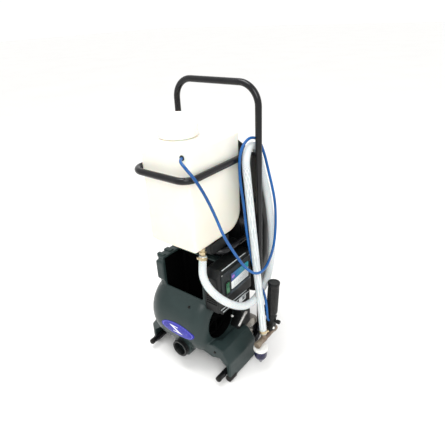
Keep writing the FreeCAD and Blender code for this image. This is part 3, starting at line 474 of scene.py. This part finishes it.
# --------------------------------------------------------------------------------------------------
# Floor pads. Two short rollers of black rubber that the skids stand on, ribbed round their ends. Each
# lies along the front of its skid.
pad_rubber = finish_of("pad_rubber", (0.014, 0.011, 0.01), (0.007, 0.006, 0.006), 0.55, patch=40, grain=500,
                       relief=0.5, Specular_IOR_Level=0.25)
PAD = [(0, 0), (10, 0), (12.2, 1.2), (13, 3.5), (13, 9), (12, 10), (12, 12), (13, 13), (13, 27),
       (12, 28), (12, 30), (13, 31), (13, 36.5), (12.2, 38.8), (10, 40), (0, 40)]
for side, mark in ((-1, "left"), (1, "right")):
    pad = turned(PAD, spot(189 * side, -242, 13), REAR, steps=48)
    dressed(pad, f"pad_{mark}", pad_rubber, stands_for=["floor_pads"])

# --------------------------------------------------------------------------------------------------
# Air intake. A black plastic grille sits at the bottom of the round recess in the drum's right side.
# Little light reaches it, so its finish is a dead matt near black: painted shade.
# Painted shade: a dead matt near black for places that little light reaches.
painted_shade_black = finish_of("painted_shade_black", (0.003, 0.003, 0.003), (0.0015, 0.0015, 0.0015), 0.75,
                       Specular_IOR_Level=0.03)
painted(painted_shade_black, "intake_grille")

# --------------------------------------------------------------------------------------------------
# Vacuum port. A black threaded neck is screwed into the drum's boss, and a hose cuff pushes into its
# bore. A near black disc deep in the bore is painted shade.
black_plastic = finish_of("black_plastic", (0.0075, 0.0085, 0.0085), (0.0045, 0.0052, 0.0052), 0.38,
                          patch=20, grain=480, relief=0.2, Specular_IOR_Level=0.22)
PORT = [(25, 40), (25, 3), (26, 1), (28, 0), (32.5, 0), (34, 1.4), (34, 5.4), (33, 6.6), (31, 7),
        (31, 10), (32.3, 11), (32.3, 13), (31, 14), (31, 16), (32.3, 17), (32.3, 19), (31, 20),
        (31, 44), (25, 44), (25, 40)]
port = turned(PORT, spot(0, -290, PORT_Z), REAR, steps=80)
dressed(port, "port_neck", black_plastic, stands_for=["vacuum_port"])
# Painted shade: a dead matt near black disc deep in the bore.
bore_shade_disc = rod(spot(0, -262, PORT_Z), REAR, 25.5, 3)
dressed(eased(bore_shade_disc, 0.5), "port_bore_shade", painted_shade_black)

# --------------------------------------------------------------------------------------------------
# Badge. A thin oval plate, printed deep blue with a pale rim and a plain white tick, stuck to the drum's
# face.
badge_low, badge_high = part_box("badge")
badge_middle = (badge_low + badge_high) / 2
badge_half = (badge_high - badge_low) / 2
badge_blue = finish_of("badge_blue", (0.03, 0.03, 0.34), (0.02, 0.02, 0.26), 0.25, patch=30, grain=700,
                       relief=0.03, Specular_IOR_Level=0.2, Coat_Weight=0.08, Coat_Roughness=0.08)
tree = badge_blue.node_tree
x, y, z = coordinates(tree)
across = worked(tree, "DIVIDE", worked(tree, "SUBTRACT", x, badge_middle.x), badge_half.x)
rise = worked(tree, "DIVIDE", worked(tree, "SUBTRACT", z, badge_middle.z), badge_half.z)
ring = within(tree, off_squared(tree, (across, 0), (rise, 0)), 0.8, 0.86)
slope = worked(tree, "ADD", rise, worked(tree, "MULTIPLY", across, 1.6))
tick = both(tree, within(tree, slope, -0.3, 0.02), within(tree, rise, -0.42, 0.46))
foot = both(tree, within(tree, rise, -0.5, -0.36), within(tree, across, -0.26, 0.3))
head = both(tree, within(tree, rise, 0.34, 0.46), within(tree, across, -0.26, 0.06))
mark = worked(tree, "MAXIMUM", worked(tree, "MAXIMUM", tick, foot), head)
overprinted(badge_blue, ((0.16, 0.16, 0.6), ring), ((0.8, 0.8, 0.86), mark))
painted(badge_blue, "badge")

# --------------------------------------------------------------------------------------------------
# Control housing. A black moulded box on the drum's right shoulder, with six louvres in its front.
# Three thin pale rods along its right side are painted highlights on its edges.
HOUSING = [(-226, 286), (-24, 286), (-24, 452), (-202, 452), (-226, 428)]
housing = pulled([spot(92, y, z) for y, z in HOUSING], RIGHT * 0.058)
eased(housing, 3.5, 3)
LOUVRES, LOUVRE_PITCH = 6, 9
for number in range(LOUVRES):
    low = 320 + LOUVRE_PITCH * number
    cut_by(housing, slab(98, 144, -228, -222.5, low, low + 4.5))
groove = slab(90, 152, -230, -20, 440, 441.4)
cut_by(housing, cut_by(groove, slab(93.2, 148.8, -222, -26, 430, 450)))
cut_by(housing, eased(slab(104, 150, -206, -112.6, 271, 287), 1), how="UNION")
smoothed(housing)
dressed(housing, "housing_shell", black_plastic, stands_for=["control_housing"])

# Painted highlights: thin pale rods where the housing's edges catch the light.
painted_highlight_pale = finish_of("painted_highlight_pale", (0.56, 0.6, 0.6), (0.42, 0.46, 0.46), 0.35, patch=80)
HIGHLIGHT_RODS = [(-214, -57, 296, 288), (-203, -44, 281, 274), (-198, -60, 451.5, 451.5)]
for number, (front, back, low, high) in enumerate(HIGHLIGHT_RODS):
    start, end = spot(150.5, front, low), spot(150.5, back, high)
    line = rod(start, (end - start).normalized(), 1.5, (end - start).length * 1000, sides=16)
    dressed(eased(line, 0.4), f"trim_line_{number + 1}", painted_highlight_pale)

# --------------------------------------------------------------------------------------------------
# Side panel. A charcoal plate with a shallow pocket, held to the housing by four small plated screws. A
# slate coloured band runs along its lower edge.
panel_charcoal = finish_of("panel_charcoal", (0.012, 0.017, 0.018), (0.008, 0.011, 0.012), 0.34, patch=25,
                           grain=650, relief=0.15, Specular_IOR_Level=0.25)
panel = slab(150, 152.5, -205, -34, 330, 436)
rounded(panel, 6, lambda middle, along: abs(along.x) > 0.99)
cut_by(panel, slab(151.6, 156, -199, -40, 346, 430), slab(148, 160, -184, -160, 343, 393))
eased(panel, 0.5)
dressed(panel, "panel_plate", panel_charcoal, stands_for=["side_panel"])
slate = finish_of("slate", (0.05, 0.065, 0.08), (0.035, 0.046, 0.056), 0.3, patch=30,
                  Specular_IOR_Level=0.25)
dressed(eased(slab(152, 153, -158, -38, 332.5, 343.5), 0.4), "panel_band", slate)
SCREW = [(0, 1.1), (1.6, 1), (2.5, 0.4), (2.6, 0), (0, 0)]
for number, (front, height) in enumerate(((-201, 433), (-38, 433), (-201, 334), (-38, 334))):
    screw = turned(SCREW, spot(152.4, front, height), RIGHT, steps=20)
    cut_by(screw, slab(153, 156, front - 2, front + 2, height - 0.35, height + 0.35))
    dressed(screw, f"panel_screw_{number + 1}", steel)

# --------------------------------------------------------------------------------------------------
# Printed films. A label on the panel runs from teal to blue over a white field with rows of plain marks,
# and a small white film with two dark blocks sits below it.
label_low, label_high = spot(0, -150, 348), spot(0, -46, 412)
label_print = finish_of("label_print", (0.82, 0.84, 0.83), (0.76, 0.79, 0.78), 0.28, patch=40, grain=900,
                        relief=0.05)
tree = label_print.node_tree
x, y, z = coordinates(tree)
along = spread(tree, y, 0, 1, label_low.y, label_high.y)
height = spread(tree, z, 0, 1, label_low.z, label_high.z)
band = worked(tree, "GREATER_THAN",
              worked(tree, "SUBTRACT", height, worked(tree, "MULTIPLY", along, 0.12)), 0.5)
blues = shades(tree, along,
               [(0.0, (0.04, 0.05, 0.2)), (0.3, (0.03, 0.16, 0.34)), (0.75, (0.02, 0.28, 0.36)),
                (1.0, (0.05, 0.42, 0.5))])
cell_across = worked(tree, "FRACT", worked(tree, "MULTIPLY", along, 9))
cell_up = worked(tree, "FRACT", worked(tree, "MULTIPLY", height, 11))
marks = both(tree, within(tree, cell_across, 0.25, 0.8), within(tree, cell_up, 0.35, 0.6),
             within(tree, along, 0.14, 0.86), within(tree, height, 0.1, 0.4))
dot = worked(tree, "LESS_THAN", off_squared(tree, (along, 0.11), (height, 0.77)), 0.007)
overprinted(label_print, (blues, band), ((0.3, 0.12, 0.5), dot), ((0.35, 0.38, 0.4), marks))
label = slab(151.6, 153.1, -150, -46, 348, 412)
rounded(label, 3, lambda middle, along: abs(along.x) > 0.99)
dressed(eased(label, 0.3), "label_film", label_print, stands_for=["panel_label"])

film_low, film_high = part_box("lower_sticker")
film_print = finish_of("film_print", (0.8, 0.82, 0.82), (0.74, 0.77, 0.77), 0.3, patch=60)
tree = film_print.node_tree
x, y, z = coordinates(tree)
along = spread(tree, y, 0, 1, film_low.y, film_high.y)
height = spread(tree, z, 0, 1, film_low.z, film_high.z)
blocks = both(tree, within(tree, height, 0.18, 0.72),
              worked(tree, "MAXIMUM", within(tree, along, 0.5, 0.72), within(tree, along, 0.78, 0.9)))
overprinted(film_print, ((0.06, 0.08, 0.09), blocks))
painted(film_print, "lower_sticker")

# --------------------------------------------------------------------------------------------------
# Rocker switch. A glossy green plastic key that tips in a black bezel. The bezel is set into the panel,
# and both have slightly rounded edges.
switch_green = finish_of("switch_green", (0.008, 0.13, 0.045), (0.005, 0.085, 0.03), 0.12, patch=60,
                         grain=500, relief=0.03, Specular_IOR_Level=0.3, Coat_Weight=0.25,
                         Coat_Roughness=0.05)
painted(switch_green, "rocker_switch")
painted(black_plastic, "switch_bezel")
softened(0.6, "rocker_switch", "switch_bezel")

# --------------------------------------------------------------------------------------------------
# Side housing and latch. A black box behind the intake carries a zinc plated bar that swings on a
# shouldered pin.
side_box = slab(107, 148, -112, -28, 124, 284)
rounded(side_box, 7, upright_edge)
cut_by(side_box, rod(spot(100, INTAKE_Y, INTAKE_Z), RIGHT, INTAKE_RADIUS + 0.4, 60))
eased(side_box, 2, 2)
ledge = eased(slab(112, 149.5, -108, -30, 279, 282), 0.8)
cut_by(side_box, ledge, how="UNION")
dressed(smoothed(side_box), "latch_housing", black_plastic, stands_for=["side_housing"])
latch_zinc = finish_of("latch_zinc", (0.72, 0.72, 0.7), (0.5, 0.5, 0.48), 0.3, patch=90, grain=900,
                       relief=0.1, Metallic=0.85)
painted(latch_zinc, "latch_bar")
painted(steel, "latch_pin")
softened(0.8, "latch_bar", "latch_pin")
white_nylon = finish_of("white_nylon", (0.82, 0.82, 0.79), (0.72, 0.72, 0.69), 0.4, patch=50, grain=500)
CAP = [(0, 3.4), (3, 3.1), (4.8, 1.6), (5.4, 0), (5.4, -1), (0, -1)]
dressed(turned(CAP, spot(120, -112, 188), -REAR, steps=32), "housing_cap", white_nylon)
dressed(turned(CAP, spot(148, -84, 226), RIGHT, steps=32), "housing_stud", steel)

# --------------------------------------------------------------------------------------------------
# Motor covers. A low deck closes the drum behind its throat, and a tall black cover with louvres at its
# back stands behind the frame's legs over the vacuum motor.
painted(black_plastic, "motor_deck")
HALF_PLAN = [(116, 14), (166, 44), (166, 76), (92, 158)]
HALF_FRONT = [(145, 225), (166, 400), (166, 520), (152, 610), (118, 690), (70, 742)]
COVER_BASE, COVER_TOP = 225, 742
REAR_LOUVRES, REAR_PITCH = 9, 16
plan = [spot(x, y, COVER_BASE) for x, y in HALF_PLAN]
plan += [spot(-x, y, COVER_BASE) for x, y in reversed(HALF_PLAN)]
front = [spot(x, 0, z) for x, z in HALF_FRONT] + [spot(-x, 0, z) for x, z in reversed(HALF_FRONT)]
cover = pulled(plan, UP * ((COVER_TOP - COVER_BASE) / 1000))
rounded(cover, 26, upright_edge)
cut_by(cover, pulled(front, REAR * 0.17), how="INTERSECT")
for number in range(REAR_LOUVRES):
    low = 300 + REAR_PITCH * number
    cut_by(cover, slab(-64, 64, 152, 170, low, low + 7))
cut_by(cover, slab(-90, 90, 10, 20, 640, 700))
moulded(cover, 3.4, 9)
dressed(cover, "cover_moulding", black_plastic, stands_for=["motor_cover"])
GLAND = [(4, 0), (9.4, 0), (9.4, 3), (11.9, 3.6), (11.9, 9), (10.8, 10), (10.8, 15), (8.5, 18), (4, 18),
         (4, 0)]
dressed(turned(GLAND, spot(60, 158, 262), REAR, steps=12), "gland_nut", black_plastic,
        stands_for=["mains_gland"])

# --------------------------------------------------------------------------------------------------
# Vacuum motor. A two stage blower under the cover: a plated case, a fan in its shroud, a gasket and a
# steel plate.
motor_metal = finish_of("motor_metal", (0.32, 0.32, 0.33), (0.2, 0.2, 0.21), 0.38, patch=40, Metallic=0.9)
painted(motor_metal, "vacuum_motor", "vacuum_fan")
painted(black_plastic, "fan_shroud", "motor_gasket")
painted(steel, "motor_plate")

# --------------------------------------------------------------------------------------------------
# Wheels. Two warm grey plastic discs, each with a darker and softer tyre moulded round it, run on one
# plated axle. A pressed cap keeps each on.
tyre_grey = finish_of("tyre_grey", (0.2, 0.18, 0.16), (0.13, 0.12, 0.105), 0.62, patch=30, grain=300,
                      relief=0.5)
disc_grey = finish_of("disc_grey", (0.56, 0.52, 0.46), (0.44, 0.41, 0.36), 0.42, patch=24, grain=400)
painted(steel, "axle")
TYRE = [(40, 1), (46, 0.4), (50.4, 2), (52, 5.4), (52, 12.6), (50.8, 13.6), (50.8, 16.4), (52, 17.4),
        (52, 24.6), (50.4, 28), (46, 29.6), (40, 29), (40, 1)]
DISC = [(6.1, 0), (13, 0), (15, 2), (15, 7), (38, 9), (40.4, 6), (40.4, 24), (38, 21), (34, 22.4),
        (22, 24.6), (16, 25), (15, 28), (13, 30), (6.1, 30), (6.1, 0)]
HUB = [(6, 0), (11.6, 0), (12, 0.8), (11, 3), (7, 4), (0, 4.4), (0, 3.4), (6, 3), (6, 0)]
AXLE_Y, AXLE_Z = 5, 52
for side, mark in ((-1, "left"), (1, "right")):
    inner = spot(96 * side, AXLE_Y, AXLE_Z)
    dressed(turned(TYRE, inner, RIGHT * side, steps=96), f"tyre_{mark}", tyre_grey,
            body=f"wheel_{mark}", stands_for=[f"wheel_{mark}"])
    disc = turned(DISC, inner, RIGHT * side, steps=72)
    dressed(disc, f"disc_{mark}", disc_grey, body=f"wheel_{mark}")
    cap = turned(HUB, spot(126.6 * side, AXLE_Y, AXLE_Z), RIGHT * side, steps=36)
    dressed(cap, f"hub_{mark}", steel, stands_for=["hub_caps"])

# --------------------------------------------------------------------------------------------------
# Solution tank. A blow moulded tank of milky natural polyethylene, darker and creamier towards its
# base, stands on a black tray across the lower hoop.
painted(black_plastic, "tank_tray")
softened(1.5, "tank_tray")
tank_white = finish_of("tank_white", (0.86, 0.845, 0.77), (0.82, 0.8, 0.71), 0.38, patch=5, grain=260,
                       relief=0.12, Subsurface_Weight=0.3, Subsurface_Scale=0.02)
tree = tank_white.node_tree
x, y, z = coordinates(tree)
# Darker and creamier towards the base.
overprinted(tank_white, ((0.76, 0.71, 0.56), spread(tree, z, 0.55, 0.0, 0.53, 0.8)))
seam = within(tree, x, spot(0.8, 0, 0).x, spot(2.2, 0, 0).x)
normal_in = tree.nodes["Principled BSDF"].inputs["Normal"]
tree.links.new(raised(tree, seam, 0.5, 0.0006, normal_in.links[0].from_socket), normal_in)


def low_back_edge(middle, along):
    return abs(along.x) > 0.99 and middle.z < spot(0, 0, 540).z and middle.y > spot(0, -20, 0).y


tank = slab(-100, 103, -265, -10, 530, 875)
rounded(tank, 70, low_back_edge, 12)
rounded(tank, 40, upright_edge, 10)
LID_FOOT = spot(-31, -157, 879)
cut_by(tank, rod(LID_FOOT - UP * 0.009, UP, 51.5, 26), how="UNION")
moulded(tank, 3.6, 45)
dressed(tank, "tank_moulding", tank_white, stands_for=["solution_tank"])

# --------------------------------------------------------------------------------------------------
# Tank lid. A white screw cap with a ribbed skirt and a stepped dome, in the same plastic as the tank. It
# turns down over a rubber seal on the neck.
seal_rubber = finish_of("seal_rubber", (0.03, 0.03, 0.03), (0.02, 0.02, 0.02), 0.6)
painted(seal_rubber, "lid_seal")
lid_white = finish_of("lid_white", (0.87, 0.86, 0.78), (0.8, 0.79, 0.7), 0.36, patch=14, grain=300,
                      relief=0.1, Subsurface_Weight=0.2, Subsurface_Scale=0.01)
LID = [(53.4, 0.3), (64, 0.3), (64.8, 1.4), (64.8, 5), (64.8, 31), (64.8, 34), (63, 36), (56, 45), (54, 48),
       (46, 60), (42, 64), (36, 66.6), (26, 68), (0, 68), (0, 65), (25, 65), (40, 60), (48, 46), (53.4, 36),
       (53.4, 0.3)]


def turned_ribbed(profile, start, along, steps, low, high, radius, ridge, every=2, gap=0.25):
    """A turned piece with every second face of one band, or every third, lifted into a rib."""
    piece = turned(profile, start, along, steps)
    in_edit(piece)
    bpy.ops.object.mode_set(mode="OBJECT")
    side = along.orthogonal().normalized()
    ahead = along.cross(side)
    for face in piece.data.polygons:
        out = face.center - start
        reach = out.dot(along) * 1000
        out -= along * out.dot(along)
        angle = math.atan2(out.dot(ahead), out.dot(side)) % math.tau
        near = low < reach < high and out.length * 1000 > radius - 1
        facing = abs(face.normal.dot(along)) < 0.5 and face.normal.dot(out) > 0
        step = round(angle / math.tau * steps - 0.5)
        face.select = near and facing and step % every == 0
    bpy.ops.object.mode_set(mode="EDIT")
    bpy.ops.mesh.inset(thickness=gap / 1000, depth=ridge / 1000, use_individual=True)
    bpy.ops.object.mode_set(mode="OBJECT")
    return smoothed(piece, 30)


lid = turned_ribbed(LID, LID_FOOT, UP, 96, 5, 31, 64.8, 1.2)
dressed(lid, "lid_cap", lid_white, body="lid", stands_for=["tank_lid"])

# --------------------------------------------------------------------------------------------------
# Tank fittings. A rubber grommet seals the pressure line in the tank's front, and a brass nipple with a
# hexagon carries the drain hose under it.
brass = finish_of("brass", (0.6, 0.5, 0.33), (0.42, 0.34, 0.2), 0.32, patch=90, grain=700, relief=0.15,
                  Metallic=0.9)
GROMMET = [(5, -3), (5, 3.2), (7, 3.4), (8.3, 2), (8.5, 0), (8.5, -3), (5, -3)]
dressed(turned(GROMMET, spot(80, -265, 851), -REAR, steps=40), "line_seal", plug_black,
        stands_for=["line_grommet"])
NIPPLE = [(5, 0), (9.5, 0), (9.5, 5), (8, 5.6), (8, 29.6), (5, 29.6), (5, 0)]
OUTLET_X, OUTLET_Y = 90, -218
nipple = turned(NIPPLE, spot(OUTLET_X, OUTLET_Y, 530), -UP, steps=48)
dressed(nipple, "outlet_nipple", brass, stands_for=["tank_outlet"])
NUT = [(8.2, 0), (10.5, 0), (12.2, 1.4), (12.2, 8.6), (10.5, 10), (8.2, 10), (8.2, 0)]
dressed(turned(NUT, spot(OUTLET_X, OUTLET_Y, 517), -UP, steps=6), "outlet_nut", brass)

# --------------------------------------------------------------------------------------------------
# Float valve. A white slotted cage under the suction pipe, both in nylon. Its ball rises to shut the
# pipe when the drum fills.
painted(white_nylon, "float_cage", "float_ball", "suction_pipe")

# --------------------------------------------------------------------------------------------------
# Solution pump. A black ribbed motor stands on a black pump head that leans rearwards, held to the right
# leg by an arm. A knob on the head sets its pressure.
PUMP_LEAN = math.radians(6)
pump_axis = Vector((0, math.sin(PUMP_LEAN), math.cos(PUMP_LEAN)))
pump_foot = spot(244, -36, 134)
painted(steel, "pump_shaft")
pump_black = finish_of("pump_black", (0.009, 0.008, 0.007), (0.004, 0.004, 0.004), 0.28, patch=60,
                       grain=260, relief=0.2, Specular_IOR_Level=0.25, Coat_Weight=0.08)
HEAD = [(0, 0), (16, 0), (18.6, 2), (19, 4), (19, 18), (17.4, 19), (17.4, 22), (19, 23), (19, 56),
        (20.4, 57), (20.4, 63), (19, 64), (19, 71.6), (0, 71.6)]
head = turned(HEAD, pump_foot, pump_axis, steps=48)
cut_by(head, eased(rod(spot(227, -36, 164), RIGHT, 15, 34, sides=40), 1.5), how="UNION")
dressed(head, "pump_body", black_plastic, stands_for=["pump_head"])
CASE = [(0, 72.3), (20, 72.3), (21.2, 73.4), (21.2, 80), (20.6, 81), (20.6, 176), (21.2, 177), (21.2, 181),
        (20.2, 182), (20.2, 185), (21.4, 186), (21.4, 193), (20.4, 194.2), (0, 194.2)]
case = turned_ribbed(CASE, pump_foot, pump_axis, 48, 82, 175, 20.6, 0.9, gap=0.5)
dressed(case, "pump_case", pump_black, stands_for=["pump_motor"])
TOP = [(0, 194.6), (21.6, 194.6), (22.5, 195.6), (22.5, 202), (21.4, 203.6), (18, 203.6), (16.6, 202),
       (0, 201.4)]
dressed(turned(TOP, pump_foot, pump_axis, steps=64), "pump_top", black_plastic,
        stands_for=["pump_motor_cap"])
KNOB = [(0, 0), (5, 0), (5, 3), (7.2, 4), (7.2, 15), (6.6, 16.6), (5, 17), (0, 17)]
knob_start = spot(263.5, -30, 174)
knob = turned_ribbed(KNOB, knob_start, RIGHT, 24, 4, 15, 7, 0.6, gap=0.2)
dressed(knob, "knob_grip", black_plastic, body="knob", stands_for=["pressure_knob"])
for number, (x, y, z) in enumerate(((262, -26, 207), (262, -44, 150))):
    dressed(turned(CAP, spot(x, y, z), RIGHT, steps=24), f"head_cap_{number + 1}", white_nylon)

# --------------------------------------------------------------------------------------------------
# Inlet pipe and strainer. A dull brass cross pipe under the pump, with collars at its ends, feeds it
# through a strainer: a white ring nut with a glossy navy bowl screwed into it.
inlet_brass = finish_of("inlet_brass", (0.3, 0.25, 0.19), (0.16, 0.11, 0.08), 0.4, patch=35, grain=500,
                        relief=0.3, Metallic=0.6)
PIPE = [(0, 0), (11.5, 0), (13.4, 1.6), (13.4, 12), (12, 13), (12, 17), (11.4, 18), (11.4, 34), (12.4, 35),
        (12.4, 55), (11.4, 56), (11.4, 112), (13.4, 113), (13.4, 128.6), (11.8, 130), (0, 130)]
pipe = turned(PIPE, spot(244, -133, 120), REAR, steps=40)
BARB = [(0, 0), (9, 0), (9, 12), (10.4, 13), (10.4, 18), (8.8, 19), (8.8, 27), (0, 27)]
cut_by(pipe, turned(BARB, spot(244, -87, 120), UP, steps=40), how="UNION")
dressed(smoothed(pipe), "inlet_tube", inlet_brass, stands_for=["inlet_pipe"])
RING = [(0, 11.8), (20, 11.8), (24, 11), (26.4, 9), (26.4, 1.6), (25.8, 0.2), (24.6, 0.2), (24.6, 7.7),
        (0, 7.7)]
STRAINER_X, STRAINER_Y = 250, -116
ring_nut = turned_ribbed(RING, spot(STRAINER_X, STRAINER_Y, 94.5), UP, 60, 1.5, 9, 26.4, 0.5, every=3,
                         gap=0.3)
dressed(ring_nut, "strainer_nut", white_nylon, stands_for=["strainer_ring"])
bowl_navy = finish_of("bowl_navy", (0.015, 0.013, 0.075), (0.006, 0.005, 0.03), 0.12, patch=45, grain=300,
                      relief=0.05, Specular_IOR_Level=0.3, Coat_Weight=0.15, Coat_Roughness=0.06)
BOWL = [(0, 0), (2.6, 0.3), (4.4, 1.6), (5.4, 4), (11, 13.5), (18.6, 25), (22.8, 34), (24.4, 42),
        (24.4, 70), (22, 70), (22, 41), (17, 26), (3, 6), (0, 6)]
bowl = turned_ribbed(BOWL, spot(STRAINER_X, STRAINER_Y, 32), UP, 40, 5, 33, 6, 0.5, gap=0.6)
dressed(bowl, "bowl_moulding", bowl_navy, body="bowl", stands_for=["strainer_bowl"])

# --------------------------------------------------------------------------------------------------
# Drain hose. 1.7 m of clear vinyl hose with a braid in its wall, milky outside. It drops from the tank's
# outlet, passes round the right side, climbs behind the leg, goes over the hanger and runs straight down
# to the pump.
HOSE_POINTS = [(90, -218, 500), (93, -228, 468), (108, -247, 441), (137, -259, 417), (166, -253, 390),
               (187, -229, 357), (200, -194, 325), (207, -154, 300), (207, -112, 287), (203, -70, 284),
               (201, -30, 294), (201, 4, 318), (201, 28, 358), (200, 42, 420), (198, 42, 492),
               (193, 42, 560), (184, 42, 622), (170, 42, 680), (153, 42, 738), (144, 38, 792),
               (143, 16, 826), (143, -18, 827), (145, -39, 790), (151.5, -42.2, 747.6), (244, -87, 147)]


def routed(name, points, thickness, material, stands_for):
    """A cord's own curve through its route, in millimetres, put in place of a CAD node."""
    line = bpy.data.curves.new(name, "CURVE")
    line.dimensions = "3D"
    line.bevel_depth = thickness / 2000
    line.bevel_resolution = 7
    line.resolution_u = 14
    line.use_fill_caps = True
    spline = line.splines.new("NURBS")
    spline.points.add(len(points) - 1)
    for point, place in zip(spline.points, points):
        point.co = (*spot(*place), 1)
    spline.order_u = 3
    spline.use_endpoint_u = True
    line.materials.append(material)
    piece = bpy.data.objects.new(name, line)
    bpy.context.scene.collection.objects.link(piece)
    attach(piece, "machine")
    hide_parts(stands_for)
    return piece


hose_clear = finish_of("hose_clear", (0.56, 0.6, 0.6), (0.47, 0.51, 0.52), 0.24, patch=14, grain=500,
                       relief=0.05, Specular_IOR_Level=0.4, Subsurface_Weight=0.15, Subsurface_Scale=0.005)
tree = hose_clear.node_tree
wall = tree.nodes.new("ShaderNodeSeparateXYZ")
tree.links.new(tree.nodes.new("ShaderNodeTexCoord").outputs["UV"], wall.inputs[0])
threads = []
for way in (8, -8):
    turns = worked(tree, "ADD", worked(tree, "MULTIPLY", wall.outputs[0], 190),
                   worked(tree, "MULTIPLY", wall.outputs[1], way))
    threads.append(worked(tree, "LESS_THAN", worked(tree, "FRACT", turns), 0.22))
braid = worked(tree, "MAXIMUM", *threads)
overprinted(hose_clear, ((0.72, 0.75, 0.75), braid))
tree.links.new(raised(tree, braid, 0.25, 0.0004), tree.nodes["Principled BSDF"].inputs["Normal"])
hose = routed("drain_hose_tube", HOSE_POINTS, 27, hose_clear, "drain_hose")

CLAMP = [(13.9, 0), (15, 0), (15.5, 0.8), (15.5, 10.2), (15, 11), (13.9, 11), (13.9, 0)]
SCREW_LENGTH = 14
HOSE_ENDS = ((HOSE_POINTS[0], HOSE_POINTS[1]), (HOSE_POINTS[-1], HOSE_POINTS[-2]))
for number, (end, beyond) in enumerate(HOSE_ENDS):
    along = (spot(*beyond) - spot(*end)).normalized()
    start = spot(*end) + along * 0.003
    band = turned(CLAMP, start, along, steps=56)
    side = along.orthogonal().normalized()
    ahead = along.cross(side)
    screw_start = start + side * 0.0175 + along * 0.0055 - ahead * (SCREW_LENGTH / 2000)
    screw = rod(screw_start, ahead, 3.4, SCREW_LENGTH, 24)
    cut_by(band, eased(screw, 0.5), how="UNION")
    dressed(band, f"hose_clamp_{number + 1}", brass, stands_for=["hose_clamps"])

# --------------------------------------------------------------------------------------------------
# Pressure line. 1.8 m of 9.4 mm blue polyurethane tube, pushed through the grommet in the tank and into
# the pump's head. It follows the hose round the leg and over the hanger, and hangs loose beside it.
LINE_POINTS = [(80, -262, 851), (86, -284, 851), (118, -300, 842), (151, -294, 808), (168, -272, 750),
               (179, -248, 680), (186, -223, 604), (204, -193, 532), (222, -163, 469), (236, -130, 433),
               (240, -97, 422), (238, -62, 421), (231, -27, 433), (226, 6, 459), (223, 25, 507),
               (221, 30, 571), (216, 32, 633), (203, 32, 690), (186, 34, 744), (169, 39, 793),
               (155, 26, 845), (146, -12, 860), (139, -44, 840), (134, -58, 797), (140, -66, 726),
               (152, -63, 640), (165, -70, 545), (176, -60, 440), (201, -53, 345), (226, -50, 298),
               (238, -56, 250), (245, -62, 214), (245, -60, 192), (244, -50, 184)]
line_blue = finish_of("line_blue", (0.008, 0.1, 0.33), (0.004, 0.06, 0.21), 0.16, patch=10, grain=400,
                      relief=0.03, Specular_IOR_Level=0.3, Coat_Weight=0.1, Coat_Roughness=0.08)
line = routed("pressure_line_tube", LINE_POINTS, 9.4, line_blue, "pressure_line")

# --------------------------------------------------------------------------------------------------
# Studio. A plain pale floor and soft light from above and in front, and a camera above the machine's
# right shoulder.
floor_pale = finish_of("floor_pale", (0.97, 0.965, 0.95), (0.95, 0.945, 0.93), 0.8, patch=1.2, grain=30,
                       relief=0.02)
bpy.ops.object.select_all(action="DESELECT")
bpy.ops.mesh.primitive_plane_add(size=60, location=(0, 0, 0))
floor = bpy.context.object
floor.name = "floor"
floor.data.materials.append(floor_pale)

world = bpy.data.worlds.new("studio")
world.use_nodes = True
world.node_tree.nodes["Background"].inputs["Color"].default_value = (1, 1, 1, 1)
world.node_tree.nodes["Background"].inputs["Strength"].default_value = 1.04
bpy.context.scene.world = world


def softbox(name, place, aim, width, watts):
    """A square of soft light turned to face a place."""
    lamp = bpy.data.lights.new(name, "AREA")
    lamp.size = width
    lamp.energy = watts
    holder = bpy.data.objects.new(name, lamp)
    holder.location = place
    holder.rotation_euler = (Vector(aim) - Vector(place)).to_track_quat("-Z", "Y").to_euler()
    bpy.context.scene.collection.objects.link(holder)


softbox("key_light", (1.6, -1.6, 2.4), (0, 0, 0.4), 1.4, 34)
softbox("top_light", (-0.3, -0.4, 2.8), (0, 0, 0.4), 1.2, 30)

camera_data = bpy.data.cameras.new("camera")
camera_data.lens = 33.67
camera_data.sensor_width = 36
camera = bpy.data.objects.new("camera", camera_data)
across = Vector((0.7957, 0.6040, -0.0445))
upward = Vector((-0.2430, 0.3858, 0.8899))
inward = Vector((-0.5547, 0.6973, -0.4538))
camera.matrix_world = Matrix((across, upward, -inward)).transposed().to_4x4()
camera.location = spot(883, -1102, 1225)
bpy.context.scene.collection.objects.link(camera)
bpy.context.scene.camera = camera
bpy.context.scene.view_settings.view_transform = "Standard"
